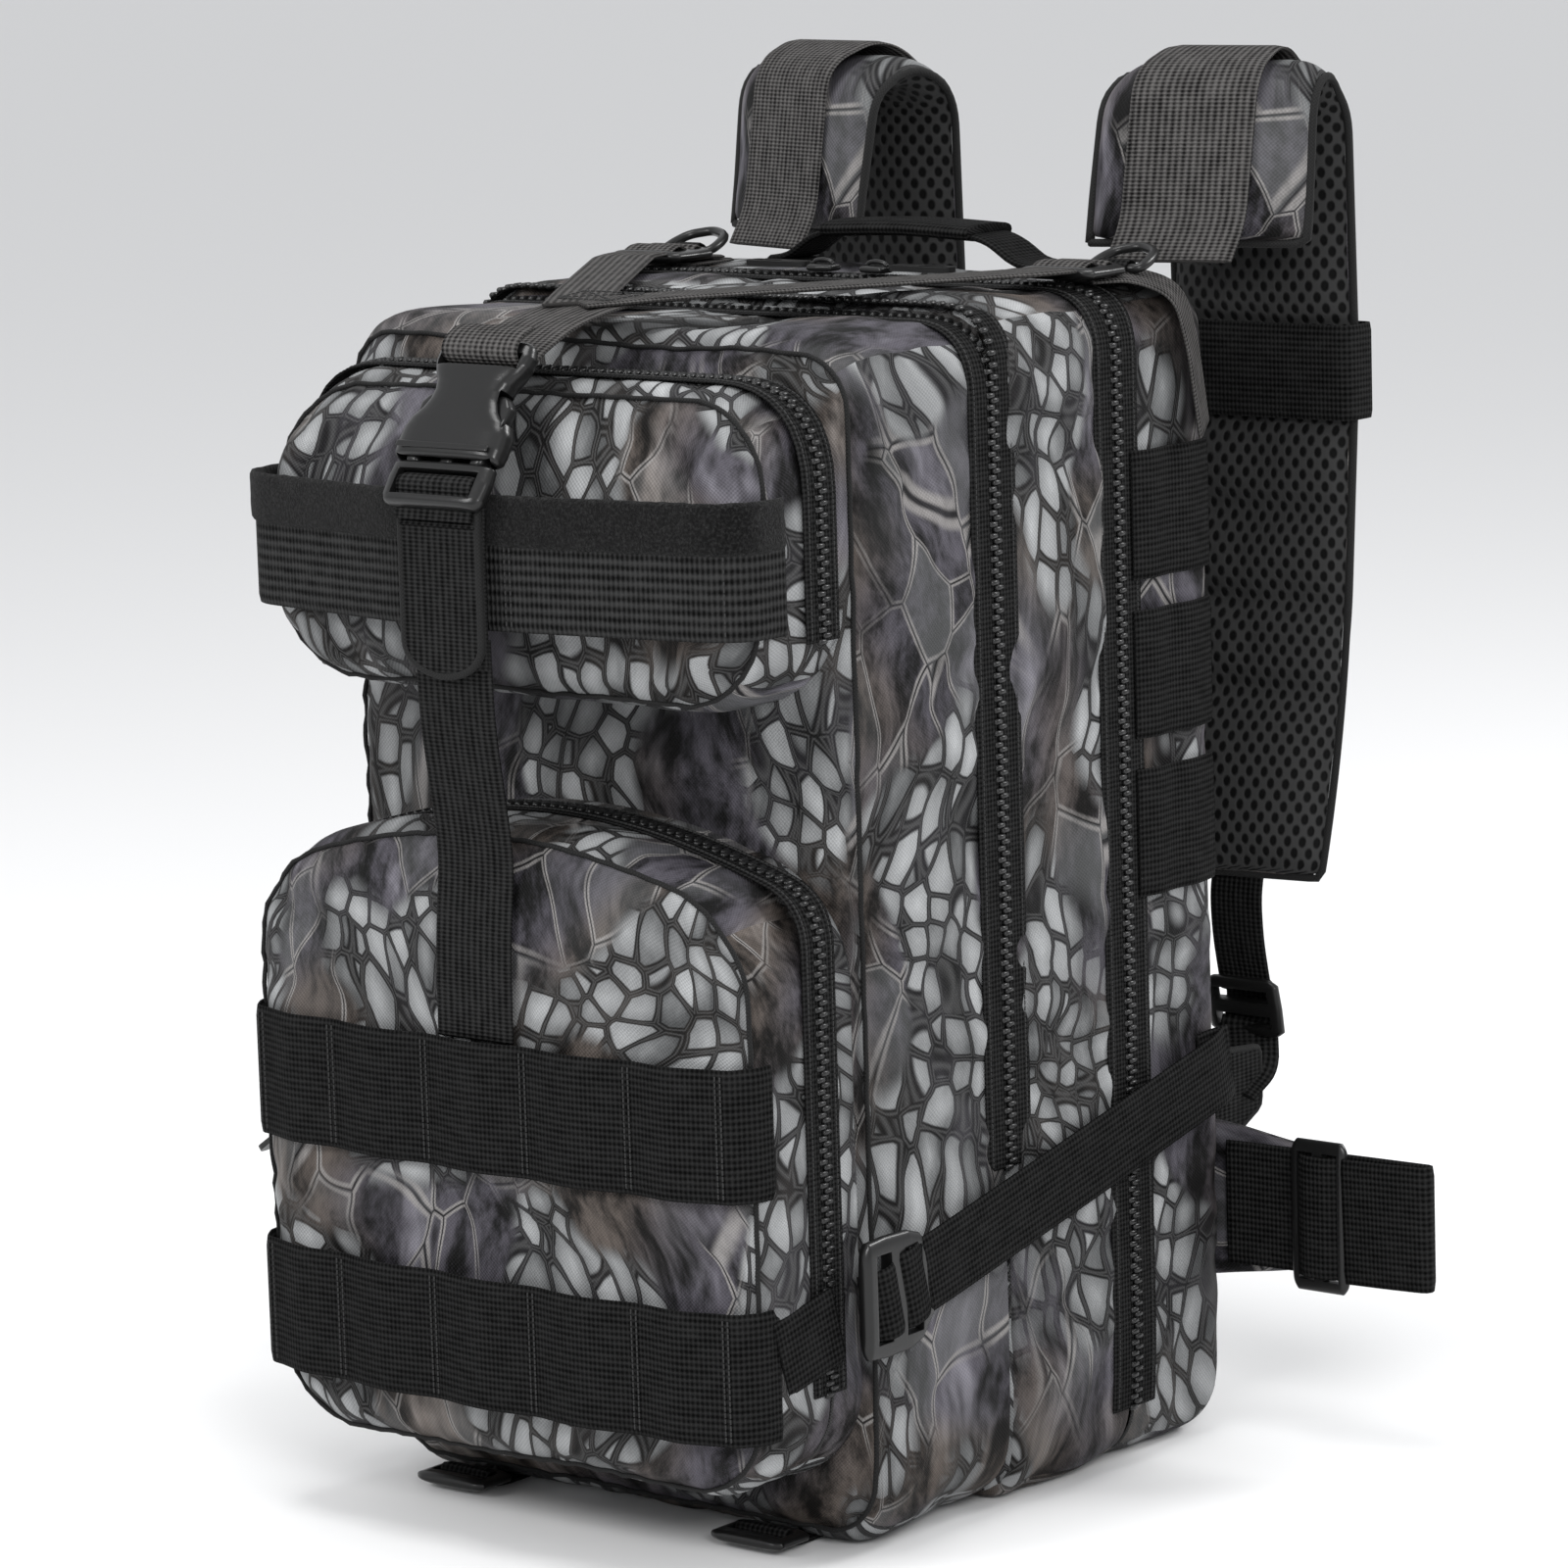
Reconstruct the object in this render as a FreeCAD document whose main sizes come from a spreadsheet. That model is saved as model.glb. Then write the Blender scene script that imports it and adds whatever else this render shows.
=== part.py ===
"""Tackle backpack, modelled as a parametric FreeCAD document.

Millimetres. +X is the viewer's right when facing the front pockets, +Y points to the
wearer's back, +Z is up, and the origin is on the bottom face, in the middle of the bag.
"""
import FreeCAD, Part
import math
import os

DIMENSIONS = {
    # the bag
    "half_width": 128,
    "bag_top": 463,
    "front_top": 458,
    "front_low": 2.4,
    "wall": 3,
    "back_plane": 104,
    "main_split": 38,
    "second_split": -40,
    "front_plane": -124,
    "split_gap": 0.4,
    "top_corner": 22,
    "bottom_corner": 12,
    "back_corner": 12,
    # front pockets
    "top_pocket_half": 122,
    "top_pocket_low": 322,
    "top_pocket_high": 444,
    "top_pocket_face": -162,
    "lower_pocket_half": 123,
    "lower_pocket_low": 30,
    "lower_pocket_high": 280,
    "lower_pocket_face": -188,
    # webbing
    "wide_webbing": 50,
    "strap_webbing": 38,
    "narrow_webbing": 25,
    "webbing_thick": 2,
    "row_stand_off": 5.5,
    "row_half": 124,
    "upper_row_mid": 175,
    "lower_row_mid": 84,
    "band_mid": 380,
    "band_face": -183,
    "chain_thick": 2,
    "chain_wide": 3.4,
    # harness
    "pad_wide": 88,
    "pad_thick": 14,
    "shoulder_mid": 98,
    "belt_mid": 96,
    "ring_wire": 4,
    "lock_thick": 5,
    "buckle_wide": 52,
    "buckle_long": 50,
    "buckle_thick": 13,
    "board_thick": 2,
    "back_pad_thick": 9,
}

Vector = FreeCAD.Vector
X_AXIS = Vector(1, 0, 0)
Y_AXIS = Vector(0, 1, 0)
Z_AXIS = Vector(0, 0, 1)

doc = FreeCAD.newDocument("tackle_backpack")
sheet = doc.addObject("Spreadsheet::Sheet", "sizes")
for row, (alias, value) in enumerate(DIMENSIONS.items(), start=1):
    sheet.set(f"A{row}", alias)
    sheet.set(f"B{row}", str(value))
    sheet.setAlias(f"B{row}", alias)
doc.recompute()

nodes = []


def size(alias):
    """The value of one cell of the sheet."""
    return float(sheet.get(alias))


def bound(text):
    """An expression over the sheet's aliases, with the sheet's name put before each alias."""
    words = text.replace("(", " ( ").replace(")", " ) ").split()
    return " ".join(f"sizes.{word}" if word in DIMENSIONS else word for word in words)


def keep(obj, label):
    """Marks an object as a node of the finished part."""
    obj.Label = label
    nodes.append(obj)
    return obj


def box(name, lengths, corner):
    """A Part::Box whose three lengths and low corner are expressions over the sheet."""
    made = doc.addObject("Part::Box", name)
    for prop, text in zip(("Length", "Width", "Height"), lengths):
        made.setExpression(prop, bound(text))
    for prop, text in zip("xyz", corner):
        made.setExpression(f"Placement.Base.{prop}", bound(text))
    return made


def cut(name, base, tool):
    made = doc.addObject("Part::Cut", name)
    made.Base = base
    made.Tool = tool
    return made


def compound(name, parts):
    made = doc.addObject("Part::Compound", name)
    made.Links = parts
    return made


def fuse(name, parts):
    made = doc.addObject("Part::MultiFuse", name)
    made.Shapes = parts
    return made


def mirrored(source, name):
    """The same piece on the other side of the bag."""
    made = doc.addObject("Part::Mirroring", name)
    made.Source = source
    made.Normal = X_AXIS
    return made


def rounded(name, base, radius_of_edge):
    """A Part::Fillet; radius_of_edge takes an edge and returns its radius, or 0 to leave it sharp."""
    doc.recompute()
    picked = []
    for number, edge in enumerate(base.Shape.Edges, start=1):
        radius = radius_of_edge(edge)
        if radius:
            picked.append((number, radius, radius))
    made = doc.addObject("Part::Fillet", name)
    made.Base = base
    made.Edges = picked
    return made


def runs_along(edge, axis):
    """True if a straight edge is parallel to the axis."""
    step = edge.Vertexes[-1].Point - edge.Vertexes[0].Point
    return step.cross(axis).Length < 1e-6


def rounded_path(name, points, radius):
    """A planar wire of straight runs joined by tangent arcs of one radius."""
    corners = [Vector(*point) for point in points]
    edges = []
    start = corners[0]
    for before, corner, after in zip(corners, corners[1:], corners[2:]):
        back = (before - corner).normalize()
        ahead = (after - corner).normalize()
        half_turn = back.getAngle(ahead) / 2
        reach = radius / math.tan(half_turn)
        middle = (back + ahead).normalize()
        centre = corner + middle * (radius / math.sin(half_turn))
        first = corner + back * reach
        last = corner + ahead * reach
        edges.append(Part.LineSegment(start, first).toShape())
        edges.append(Part.Arc(first, centre - middle * radius, last).toShape())
        start = last
    edges.append(Part.LineSegment(start, corners[-1]).toShape())
    made = doc.addObject("Part::Feature", name)
    made.Shape = Part.Wire(edges)
    return made


def ribbon(name, points, radius, thick, wide, across):
    """Flat webbing: the path, thickened to one side (the sign of thick), and wide across its plane."""
    path = rounded_path(f"{name}_path", points, radius)
    band = doc.addObject("Part::Offset2D", f"{name}_band")
    band.Source = path
    band.Mode = "Skin"
    band.Fill = True
    band.setExpression("Value", bound(thick))
    made = doc.addObject("Part::Extrusion", name)
    made.Base = band
    made.DirMode = "Custom"
    made.Dir = across
    made.Solid = True
    made.Symmetric = True
    made.setExpression("LengthFwd", bound(wide))
    return made


def closed_edges(points):
    """The edges of a closed polygon given in the sketch's plane."""
    ends = [Vector(x, y, 0) for x, y in points]
    return [Part.LineSegment(a, b) for a, b in zip(ends, ends[1:] + ends[:1])]


def rounded_rectangle(wide, high, corner, centre=(0, 0), steps=4):
    """A rectangle whose corners are quarter rounds, as a point list."""
    points = []
    for quarter, (sx, sy) in enumerate(((1, 1), (-1, 1), (-1, -1), (1, -1))):
        cx = centre[0] + sx * (wide / 2 - corner)
        cy = centre[1] + sy * (high / 2 - corner)
        for step in range(steps + 1):
            angle = math.pi / 2 * (quarter + step / steps)
            points.append((cx + corner * math.cos(angle), cy + corner * math.sin(angle)))
    return points


def plate(name, outline, holes, thick, x_dir=X_AXIS, normal=Z_AXIS, centre=(0, 0, 0)):
    """A moulded plate: one PartDesign pad of an outline with holes, set down in the bag's frame."""
    body = doc.addObject("PartDesign::Body", name)
    sketch = body.newObject("Sketcher::SketchObject", f"{name}_sketch")
    plane = [f for f in body.Origin.OriginFeatures if f.Role == "XY_Plane"][0]
    sketch.AttachmentSupport = [(plane, "")]
    sketch.MapMode = "FlatFace"
    for loop in [outline, *holes]:
        sketch.addGeometry(closed_edges(loop), False)
    pad = body.newObject("PartDesign::Pad", f"{name}_pad")
    pad.Profile = sketch
    pad.Midplane = True
    pad.setExpression("Length", bound(thick))
    y_dir = Vector(normal).cross(x_dir)
    turn = FreeCAD.Rotation(x_dir, y_dir, normal, "ZXY")
    body.Placement = FreeCAD.Placement(Vector(*centre), turn)
    return body


# ---------------------------------------------------------------- bag shells

def tub(name, front, back, low, top, open_side):
    """One third of the bag: a rounded box with walls all round, open on one face."""
    outer = box(
        f"{name}_outer",
        ("half_width * 2", f"( {back} ) - ( {front} )", f"{top} - {low}"),
        ("-1 * half_width", front, low),
    )

    def radius_of(edge):
        middle = edge.BoundBox.Center
        if runs_along(edge, Y_AXIS):
            return size("top_corner") if middle.z > 100 else size("bottom_corner")
        on_end = middle.y > size("back_plane") - 5 or middle.y < size("front_plane") + 5
        return size("back_corner") if on_end else 0

    blank = rounded(f"{name}_blank", outer, radius_of)
    inner = box(
        f"{name}_inner",
        (
            "( half_width - wall ) * 2",
            f"( {back} ) - ( {front} )",
            f"{top} - {low} - wall * 2",
        ),
        (
            "wall - half_width",
            f"{front} + wall" if open_side == "back" else f"{front} - wall",
            f"{low} + wall",
        ),
    )

    def inner_radius(edge):
        return max(radius_of(edge) - size("wall"), 0)

    hollow = rounded(f"{name}_hollow", inner, inner_radius)
    return cut(name, blank, hollow)


FLOOR = "0 * wall"
rear_front = "main_split + split_gap / 2"
middle_back = "main_split - split_gap / 2"
middle_front = "second_split + split_gap / 2"
front_back = "second_split - split_gap / 2"
keep(tub("rear", rear_front, "back_plane", FLOOR, "bag_top", "front"), "rear_shell")
keep(tub("middle", middle_front, middle_back, FLOOR, "bag_top", "back"), "middle_shell")
keep(tub("front", "front_plane", front_back, "front_low", "front_top", "back"), "front_shell")


def chain(name, side, top, low, start):
    """Half of a coil zipper: it follows the rim up one side, over the top and down the other."""
    half = size("half_width")
    high = size(top)
    depth = start + side * size("chain_wide") / 2
    points = [(half, depth, low), (half, depth, high), (-half, depth, high), (-half, depth, low)]
    return ribbon(name, points, size("top_corner"), "-1 * chain_thick", "chain_wide", Y_AXIS)


MAIN_ZIP_LOW = 20
SECOND_ZIP_LOW = 136
gap = size("split_gap") / 2
keep(chain("main_zip_rear", 1, "bag_top", MAIN_ZIP_LOW, size("main_split") + gap), "main_zip_rear")
keep(chain("main_zip_front", -1, "bag_top", MAIN_ZIP_LOW, size("main_split") - gap), "main_zip_front")
second_y = size("second_split")
keep(chain("second_zip_rear", 1, "bag_top", SECOND_ZIP_LOW, second_y + gap), "second_zip_rear")
keep(chain("second_zip_front", -1, "front_top", SECOND_ZIP_LOW, second_y - gap), "second_zip_front")

# ---------------------------------------------------------------- inside and back panel

keep(
    box(
        "back_stiffener",
        ("( half_width - 12 ) * 2", "board_thick", "bag_top - 40"),
        ("12 - half_width", "back_plane - wall - board_thick", "wall + 12"),
    ),
    "back_stiffener",
)
SLEEVE_DEPTH = 12
sleeve_outer = box(
    "sleeve_outer",
    ("( half_width - 14 ) * 2", f"{SLEEVE_DEPTH}", "bag_top * 0.6"),
    ("14 - half_width", f"back_plane - wall - board_thick - {SLEEVE_DEPTH}", "wall + 12"),
)
sleeve_inner = box(
    "sleeve_inner",
    ("( half_width - 16 ) * 2", f"{SLEEVE_DEPTH}", "bag_top * 0.6"),
    ("16 - half_width", f"back_plane - wall - board_thick - {SLEEVE_DEPTH} + 2", "wall + 14"),
)
keep(cut("inner_sleeve", sleeve_outer, sleeve_inner), "inner_sleeve")


def back_pad(name, wide, high, x, z):
    """A foam pad with air mesh over it, on the outside of the back panel."""
    lengths = (str(wide), "back_pad_thick", str(high))
    block = box(f"{name}_block", lengths, (str(x), "back_plane * 1", str(z)))
    return rounded(name, block, lambda edge: 12 if runs_along(edge, Y_AXIS) else 0)


pads = [back_pad(f"back_pad_{i}", 88, 250, x, 170) for i, x in enumerate((-98, 10))]
pads.append(back_pad("lumbar_pad", 196, 84, -98, 66))
keep(compound("back_pads", pads), "back_pads")

# ---------------------------------------------------------------- front pockets

top_outer = box(
    "top_pocket_outer",
    ("top_pocket_half * 2", "front_plane - top_pocket_face", "top_pocket_high - top_pocket_low"),
    ("-1 * top_pocket_half", "top_pocket_face * 1", "top_pocket_low * 1"),
)
TOP_POCKET_CORNER = 34
POCKET_EDGE = 12


def pocket_radius(edge):
    """Large corners seen from the front, and a soft edge round the pocket's face."""
    if runs_along(edge, Y_AXIS):
        return TOP_POCKET_CORNER
    return POCKET_EDGE if edge.BoundBox.Center.y < size("front_plane") - 20 else 0


top_blank = rounded("top_pocket_blank", top_outer, pocket_radius)
top_inner = box(
    "top_pocket_inner",
    (
        "( top_pocket_half - wall ) * 2",
        "front_plane - top_pocket_face - wall",
        "top_pocket_high - top_pocket_low - wall * 2",
    ),
    ("wall - top_pocket_half", "top_pocket_face + wall", "top_pocket_low + wall"),
)
top_hollow = rounded(
    "top_pocket_hollow",
    top_inner,
    lambda edge: max(pocket_radius(edge) - size("wall"), 0),
)
keep(cut("top_pocket_shell", top_blank, top_hollow), "top_pocket_shell")


def arched_block(name, half, low, high, front, back, shoulder, edge_radius):
    """A pocket block whose top edge rises in a low arch between its two shoulders."""
    spring_z = high - shoulder
    arch = Part.Arc(Vector(half, 0, spring_z), Vector(0, 0, high), Vector(-half, 0, spring_z))
    lines = [
        Part.LineSegment(Vector(-half, 0, spring_z), Vector(-half, 0, low)),
        Part.LineSegment(Vector(-half, 0, low), Vector(half, 0, low)),
        Part.LineSegment(Vector(half, 0, low), Vector(half, 0, spring_z)),
    ]
    face = Part.Face(Part.Wire([arch.toShape(), *[line.toShape() for line in lines]]))
    solid = face.extrude(Vector(0, back - front, 0))
    upright = [edge for edge in solid.Edges if runs_along(edge, Y_AXIS)]
    solid = solid.makeFillet(edge_radius, upright)
    solid.translate(Vector(0, front, 0))
    made = doc.addObject("Part::Feature", name)
    made.Shape = solid
    return made


face = size("lower_pocket_face")
pocket_back = size("front_plane") - size("split_gap")
lower_half = size("lower_pocket_half")
lower_low = size("lower_pocket_low")
lower_high = size("lower_pocket_high")
wall = size("wall")
ARCH_RISE = 26
lower_outer = arched_block(
    "lower_pocket_outer",
    lower_half,
    lower_low,
    lower_high,
    face,
    pocket_back,
    ARCH_RISE,
    30,
)
lower_blank = rounded(
    "lower_pocket_blank",
    lower_outer,
    lambda edge: 10 if edge.BoundBox.YMax < face + 0.1 else 0,
)
lower_inner = arched_block(
    "lower_pocket_inner",
    lower_half - wall,
    lower_low + wall,
    lower_high - wall,
    face + wall,
    pocket_back + wall,
    ARCH_RISE,
    27,
)
lower_hollow = rounded(
    "lower_pocket_hollow",
    lower_inner,
    lambda edge: 7 if edge.BoundBox.YMax < face + wall + 0.1 else 0,
)
keep(cut("lower_pocket_shell", lower_blank, lower_hollow), "lower_pocket_shell")

# ---------------------------------------------------------------- webbing on the pockets


def looped_row(name, z_mid, loops):
    """A 50 mm webbing row sewn down at its ends and between its loops."""
    half = size("row_half") - 1
    pitch = 2 * half / loops
    plate_row = box(
        f"{name}_plate",
        ("row_half * 2 - 2", "webbing_thick", "wide_webbing"),
        (
            "1 - row_half",
            "lower_pocket_face - row_stand_off - webbing_thick",
            f"{z_mid} - wide_webbing / 2",
        ),
    )
    tacks = []
    for index in range(loops + 1):
        x = min(max(-half + pitch * index, -half + 9), half - 9) - 2
        tacks.append(
            box(
                f"{name}_tack_{index}",
                ("4", "row_stand_off", "wide_webbing"),
                (f"{x:.2f}", "lower_pocket_face - row_stand_off", f"{z_mid} - wide_webbing / 2"),
            )
        )
    return fuse(name, [plate_row, *tacks])


ROW_LOOPS = 5
keep(looped_row("molle_row_upper", "upper_row_mid", ROW_LOOPS), "molle_row_upper")
keep(looped_row("molle_row_lower", "lower_row_mid", ROW_LOOPS), "molle_row_lower")

band_half = size("top_pocket_half")
pocket_face = size("top_pocket_face")
band_face = size("band_face")
band_mid = size("band_mid")
BAND_CENTRE = -199
BAND_PLAN = [
    (band_half - 4, pocket_face),
    (band_half - 6, band_face + 6),
    (70, band_face - 3),
    (22, BAND_CENTRE),
    (-22, BAND_CENTRE),
    (-70, band_face - 3),
    (6 - band_half, band_face + 6),
    (4 - band_half, pocket_face),
]
band_points = [(x, y, band_mid) for x, y in BAND_PLAN]
keep(ribbon("spool_band", band_points, 6, "webbing_thick", "wide_webbing", Z_AXIS), "spool_band")

STRAP_FACE = -203


def centre_ribbon(name, points, radius, thick):
    return ribbon(name, [(0, y, z) for y, z in points], radius, thick, "strap_webbing", X_AXIS)


STRAP_TOP = 404
STRAP_LAP = 350
SEWN_TOP = 264
SEWN_END = 203
FREE_END = 290
sewn = box(
    "sewn_strap",
    ("strap_webbing", "webbing_thick", str(SEWN_TOP - SEWN_END)),
    ("strap_webbing * -0.5", "lower_pocket_face - webbing_thick", str(SEWN_END)),
)
keep(sewn, "center_strap_sewn")
free = [(STRAP_FACE + 2.6, STRAP_LAP), (STRAP_FACE + 2.6, 322), (face - 8, FREE_END)]
keep(centre_ribbon("center_strap_free", free, 30, "webbing_thick"), "center_strap_free")
UPPER_END = 341
upper = box(
    "upper_strap",
    ("strap_webbing", "webbing_thick", str(STRAP_TOP - UPPER_END)),
    ("strap_webbing * -0.5", f"{STRAP_FACE} - webbing_thick", str(UPPER_END)),
)
keep(upper, "center_strap_upper")
tail_end = [(19 * math.cos(a), -24 - 12 * math.sin(a)) for a in (2.5, 1.9, 1.25, 0.65)]
tail_outline = [(-19, 28), (-19, -24), *tail_end, (19, -24), (19, 28)]
FRONT_NORMAL = Vector(0, -1, 0)
tail = plate("tail", tail_outline, [], "webbing_thick", X_AXIS, FRONT_NORMAL, (0, STRAP_FACE - 4.4, 372))
keep(tail, "center_strap_tail")

# ---------------------------------------------------------------- centre buckle and yoke

TILT = math.radians(34)
OUT = Vector(0, -math.cos(TILT), math.sin(TILT))
BUCKLE = Vector(0, -187, 437)
buckle_half = size("buckle_wide") / 2
long_half = size("buckle_long") / 2


def buckle_plate(name, outline, holes, thick):
    """A plate in the buckle's plane: local y runs up the strap, away from the loose end."""
    return plate(name, outline, holes, thick, X_AXIS, OUT, tuple(BUCKLE))


waist = buckle_half - 9
right_side = [
    (buckle_half, -long_half),
    (buckle_half, -long_half + 10),
    (waist, -4),
    (waist, 6),
    (buckle_half - 4, long_half - 10),
    (buckle_half - 4, long_half),
]
socket_outline = right_side + [(-x, y) for x, y in reversed(right_side)]
socket_body = buckle_plate("socket_body", socket_outline, [], "buckle_thick")
mouth_outline = rounded_rectangle(46, 36, 2, (0, -14))
socket_mouth = buckle_plate("socket_mouth", mouth_outline, [], "buckle_thick - 5")
slot_outline = rounded_rectangle(40, 7, 1, (0, 16))
webbing_slot = buckle_plate("webbing_slot", slot_outline, [], "buckle_thick * 2")
socket = cut("socket", cut("socket_cut", socket_body, socket_mouth), webbing_slot)
keep(socket, "buckle_female")

PRONG_ROOT = -25.6
prong_right = [(12.5, PRONG_ROOT), (17.4, PRONG_ROOT), (21, -6), (16, 3), (12, 3)]
prong_left = [(-x, y) for x, y in reversed(prong_right)]
prongs = [
    buckle_plate(f"prong_{side}", outline, [], "buckle_thick - 6")
    for side, outline in (("right", prong_right), ("left", prong_left))
]
tongue_outline = [(-3, PRONG_ROOT), (3, PRONG_ROOT), (2, 2), (-2, 2)]
tongue = buckle_plate("tongue", tongue_outline, [], "buckle_thick - 8")
ladder = buckle_plate(
    "male_ladder",
    rounded_rectangle(46, 15, 3, (0, -33.2)),
    [rounded_rectangle(39, 5, 1, (0, -34))],
    "buckle_thick - 6",
)
keep(fuse("buckle_plug", [*prongs, tongue, ladder]), "buckle_male")

ARM_WIDE = 25
LOCK_X = 103
LOCK_Y = 46
ARM_END_Y = 33
YOKE_FRONT_Y = -128
YOKE_RISE = math.radians(1.6)
arm_half = ARM_WIDE / 2
yoke_plan = [
    (LOCK_X + arm_half, ARM_END_Y),
    (LOCK_X - arm_half, ARM_END_Y),
    (0, -92),
    (arm_half - LOCK_X, ARM_END_Y),
    (-LOCK_X - arm_half, ARM_END_Y),
    (-19, -108),
    (-19, YOKE_FRONT_Y),
    (19, YOKE_FRONT_Y),
    (19, -108),
]
yoke_normal = Vector(0, -math.sin(YOKE_RISE), math.cos(YOKE_RISE))
YOKE_Z = 468.2
yoke_top = plate("yoke_top", yoke_plan, [], "webbing_thick", X_AXIS, yoke_normal, (0, 0, YOKE_Z))
nose_z = YOKE_Z + YOKE_FRONT_Y * math.tan(YOKE_RISE) + 1
nose = [(YOKE_FRONT_Y + 1, nose_z), (-155, 460.5), (-165.5, 455.4)]
yoke_nose = centre_ribbon("yoke_nose", nose, 8, "-1 * webbing_thick")
keep(fuse("yoke", [yoke_top, yoke_nose]), "yoke_webbing")


def frame_lock(name, wide, long, slots, x_dir, normal, centre):
    """A ladder lock: a moulded frame with cross slots for the webbing."""
    holes = [rounded_rectangle(wide - 9, slot_high, 1.5, (0, y)) for y, slot_high in slots]
    return plate(name, rounded_rectangle(wide, long, 4), holes, "lock_thick", x_dir, normal, centre)


def both_sides(name, pieces):
    """The right-hand pieces and their mirror images, as one group of separate solids."""
    right = compound(f"{name}_right", pieces)
    return compound(f"{name}_pair", [right, mirrored(right, f"{name}_left")])


top = size("bag_top")
NARROW_SLOTS = [(-5.5, 5), (5.5, 5)]
yoke_lock_at = (LOCK_X, LOCK_Y, top + 5.5)
yoke_lock = frame_lock("yoke_lock", 36, 24, NARROW_SLOTS, X_AXIS, Z_AXIS, yoke_lock_at)
yoke_tab = box(
    "yoke_tab",
    ("25", "24", "webbing_thick"),
    (f"{LOCK_X - 12.5}", f"{LOCK_Y + 2}", "bag_top * 1"),
)
keep(both_sides("yoke_lock_set", [yoke_lock]), "yoke_locks")

# ---------------------------------------------------------------- side and bottom compression

SIDE_X = 134
side_rows = [
    box(
        f"side_row_{index}",
        ("webbing_thick", "back_plane - main_split - 22", "wide_webbing"),
        ("half_width * 1", "main_split + 8", str(low)),
    )
    for index, low in enumerate((226, 288, 350))
]
keep(both_sides("side_row_set", side_rows), "side_webbing")

BUCKLE_Y = -118
BUCKLE_Z = 104
STRAP_REAR = (100, 152)


def slanted_strap(name, start, end, wide, x):
    """A flat strap on the side of the bag, between two points of the side plane."""
    rise = math.atan2(end[1] - start[1], end[0] - start[0])
    half_long = math.hypot(end[0] - start[0], end[1] - start[1]) / 2
    along = Vector(0, math.cos(rise), math.sin(rise))
    signs = ((-1, -1), (1, -1), (1, 1), (-1, 1))
    corners = [(half_long * sx, wide / 2 * sy) for sx, sy in signs]
    middle = ((start[0] + end[0]) / 2, (start[1] + end[1]) / 2)
    return plate(name, corners, [], "webbing_thick", along, X_AXIS, (x, *middle))


strap_front = (BUCKLE_Y + 27, BUCKLE_Z + 6)
side_strap = slanted_strap("side_strap_run", strap_front, STRAP_REAR, 30, SIDE_X + 1)
side_anchor = box("side_strap_anchor", ("8", "10", "26"), ("half_width * 1", "back_plane - 14", "139"))
strap_union = fuse("side_strap_union", [side_strap, side_anchor])
keep(both_sides("side_strap_set", [strap_union]), "side_straps")

LOCK_SLOTS = [(-10, 9), (10, 9)]
side_lock_at = (SIDE_X - 0.6, BUCKLE_Y, BUCKLE_Z)
side_lock = frame_lock("side_lock", 46, 42, LOCK_SLOTS, Z_AXIS, X_AXIS, side_lock_at)
lock_tab = box(
    "side_lock_tab",
    ("2", "12", "30"),
    ("half_width * 1", f"{BUCKLE_Y + 10}", f"{BUCKLE_Z - 15}"),
)
keep(both_sides("side_lock_set", [side_lock, lock_tab]), "side_buckles")

stub_front = (-172, BUCKLE_Z - 14)
stub_rear = (BUCKLE_Y - 22, BUCKLE_Z - 6)
stub = slanted_strap("pocket_stub", stub_front, stub_rear, 30, lower_half + 1)
keep(both_sides("pocket_stub_set", [stub]), "pocket_side_tabs")

BOTTOM_X = 75
bottom_strap = box(
    "bottom_strap",
    ("narrow_webbing", "66", "webbing_thick"),
    (f"{BOTTOM_X - 12.5}", "-124", FLOOR),
)
bottom_bar = frame_lock("bottom_bar", 36, 20, [(0, 8)], X_AXIS, Z_AXIS, (BOTTOM_X, -132, 4.9))
keep(both_sides("bottom_strap_set", [bottom_strap]), "bottom_straps")
keep(both_sides("bottom_bar_set", [bottom_bar]), "bottom_locks")

# ---------------------------------------------------------------- top: handle and rings

HANDLE_Y = 80
HANDLE_HALF = 58
HANDLE_RISE = 15
FOOT_RISE = 9.5
handle_points = [
    (-HANDLE_HALF + 8, HANDLE_Y, top + FOOT_RISE),
    (-HANDLE_HALF + 16, HANDLE_Y, top + HANDLE_RISE),
    (HANDLE_HALF - 16, HANDLE_Y, top + HANDLE_RISE),
    (HANDLE_HALF - 8, HANDLE_Y, top + FOOT_RISE),
]
handle = ribbon("handle_strip", handle_points, 10, "webbing_thick * 1.5", "narrow_webbing", Y_AXIS)
GRIP_HALF = 34
grip_block = box(
    "grip_block",
    (str(GRIP_HALF * 2), "narrow_webbing + 5", "4"),
    (str(-GRIP_HALF), f"{HANDLE_Y} - narrow_webbing / 2 - 2.5", f"{top + HANDLE_RISE}"),
)
grip = rounded("grip", grip_block, lambda edge: 1.5 if runs_along(edge, X_AXIS) else 0)
keep(compound("handle_group", [handle, grip]), "carry_handle")
anchor = box(
    "handle_anchor",
    ("20", "27", "webbing_thick"),
    (str(HANDLE_HALF - 5), str(HANDLE_Y - 13.5), "bag_top * 1"),
)
RING_X = 108
RING_Y = 66
ring_tab = box(
    "ring_tab",
    ("18", "12", "webbing_thick"),
    (str(RING_X - 12), str(RING_Y - 4), "bag_top * 1"),
)
keep(both_sides("top_tab_set", [yoke_tab, anchor, ring_tab]), "top_tabs")

RING_LIFT = 5
RING_TILT = 0.35


def d_shape(half, base, corner):
    """The outline of a D: a flat bar and a round bow."""
    bow = [(half * math.cos(a), corner + half * math.sin(a)) for a in (0.5, 1.05, 1.57, 2.09, 2.64)]
    return [(-half, base), (half, base), (half, corner), *bow, (-half, corner)]


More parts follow.
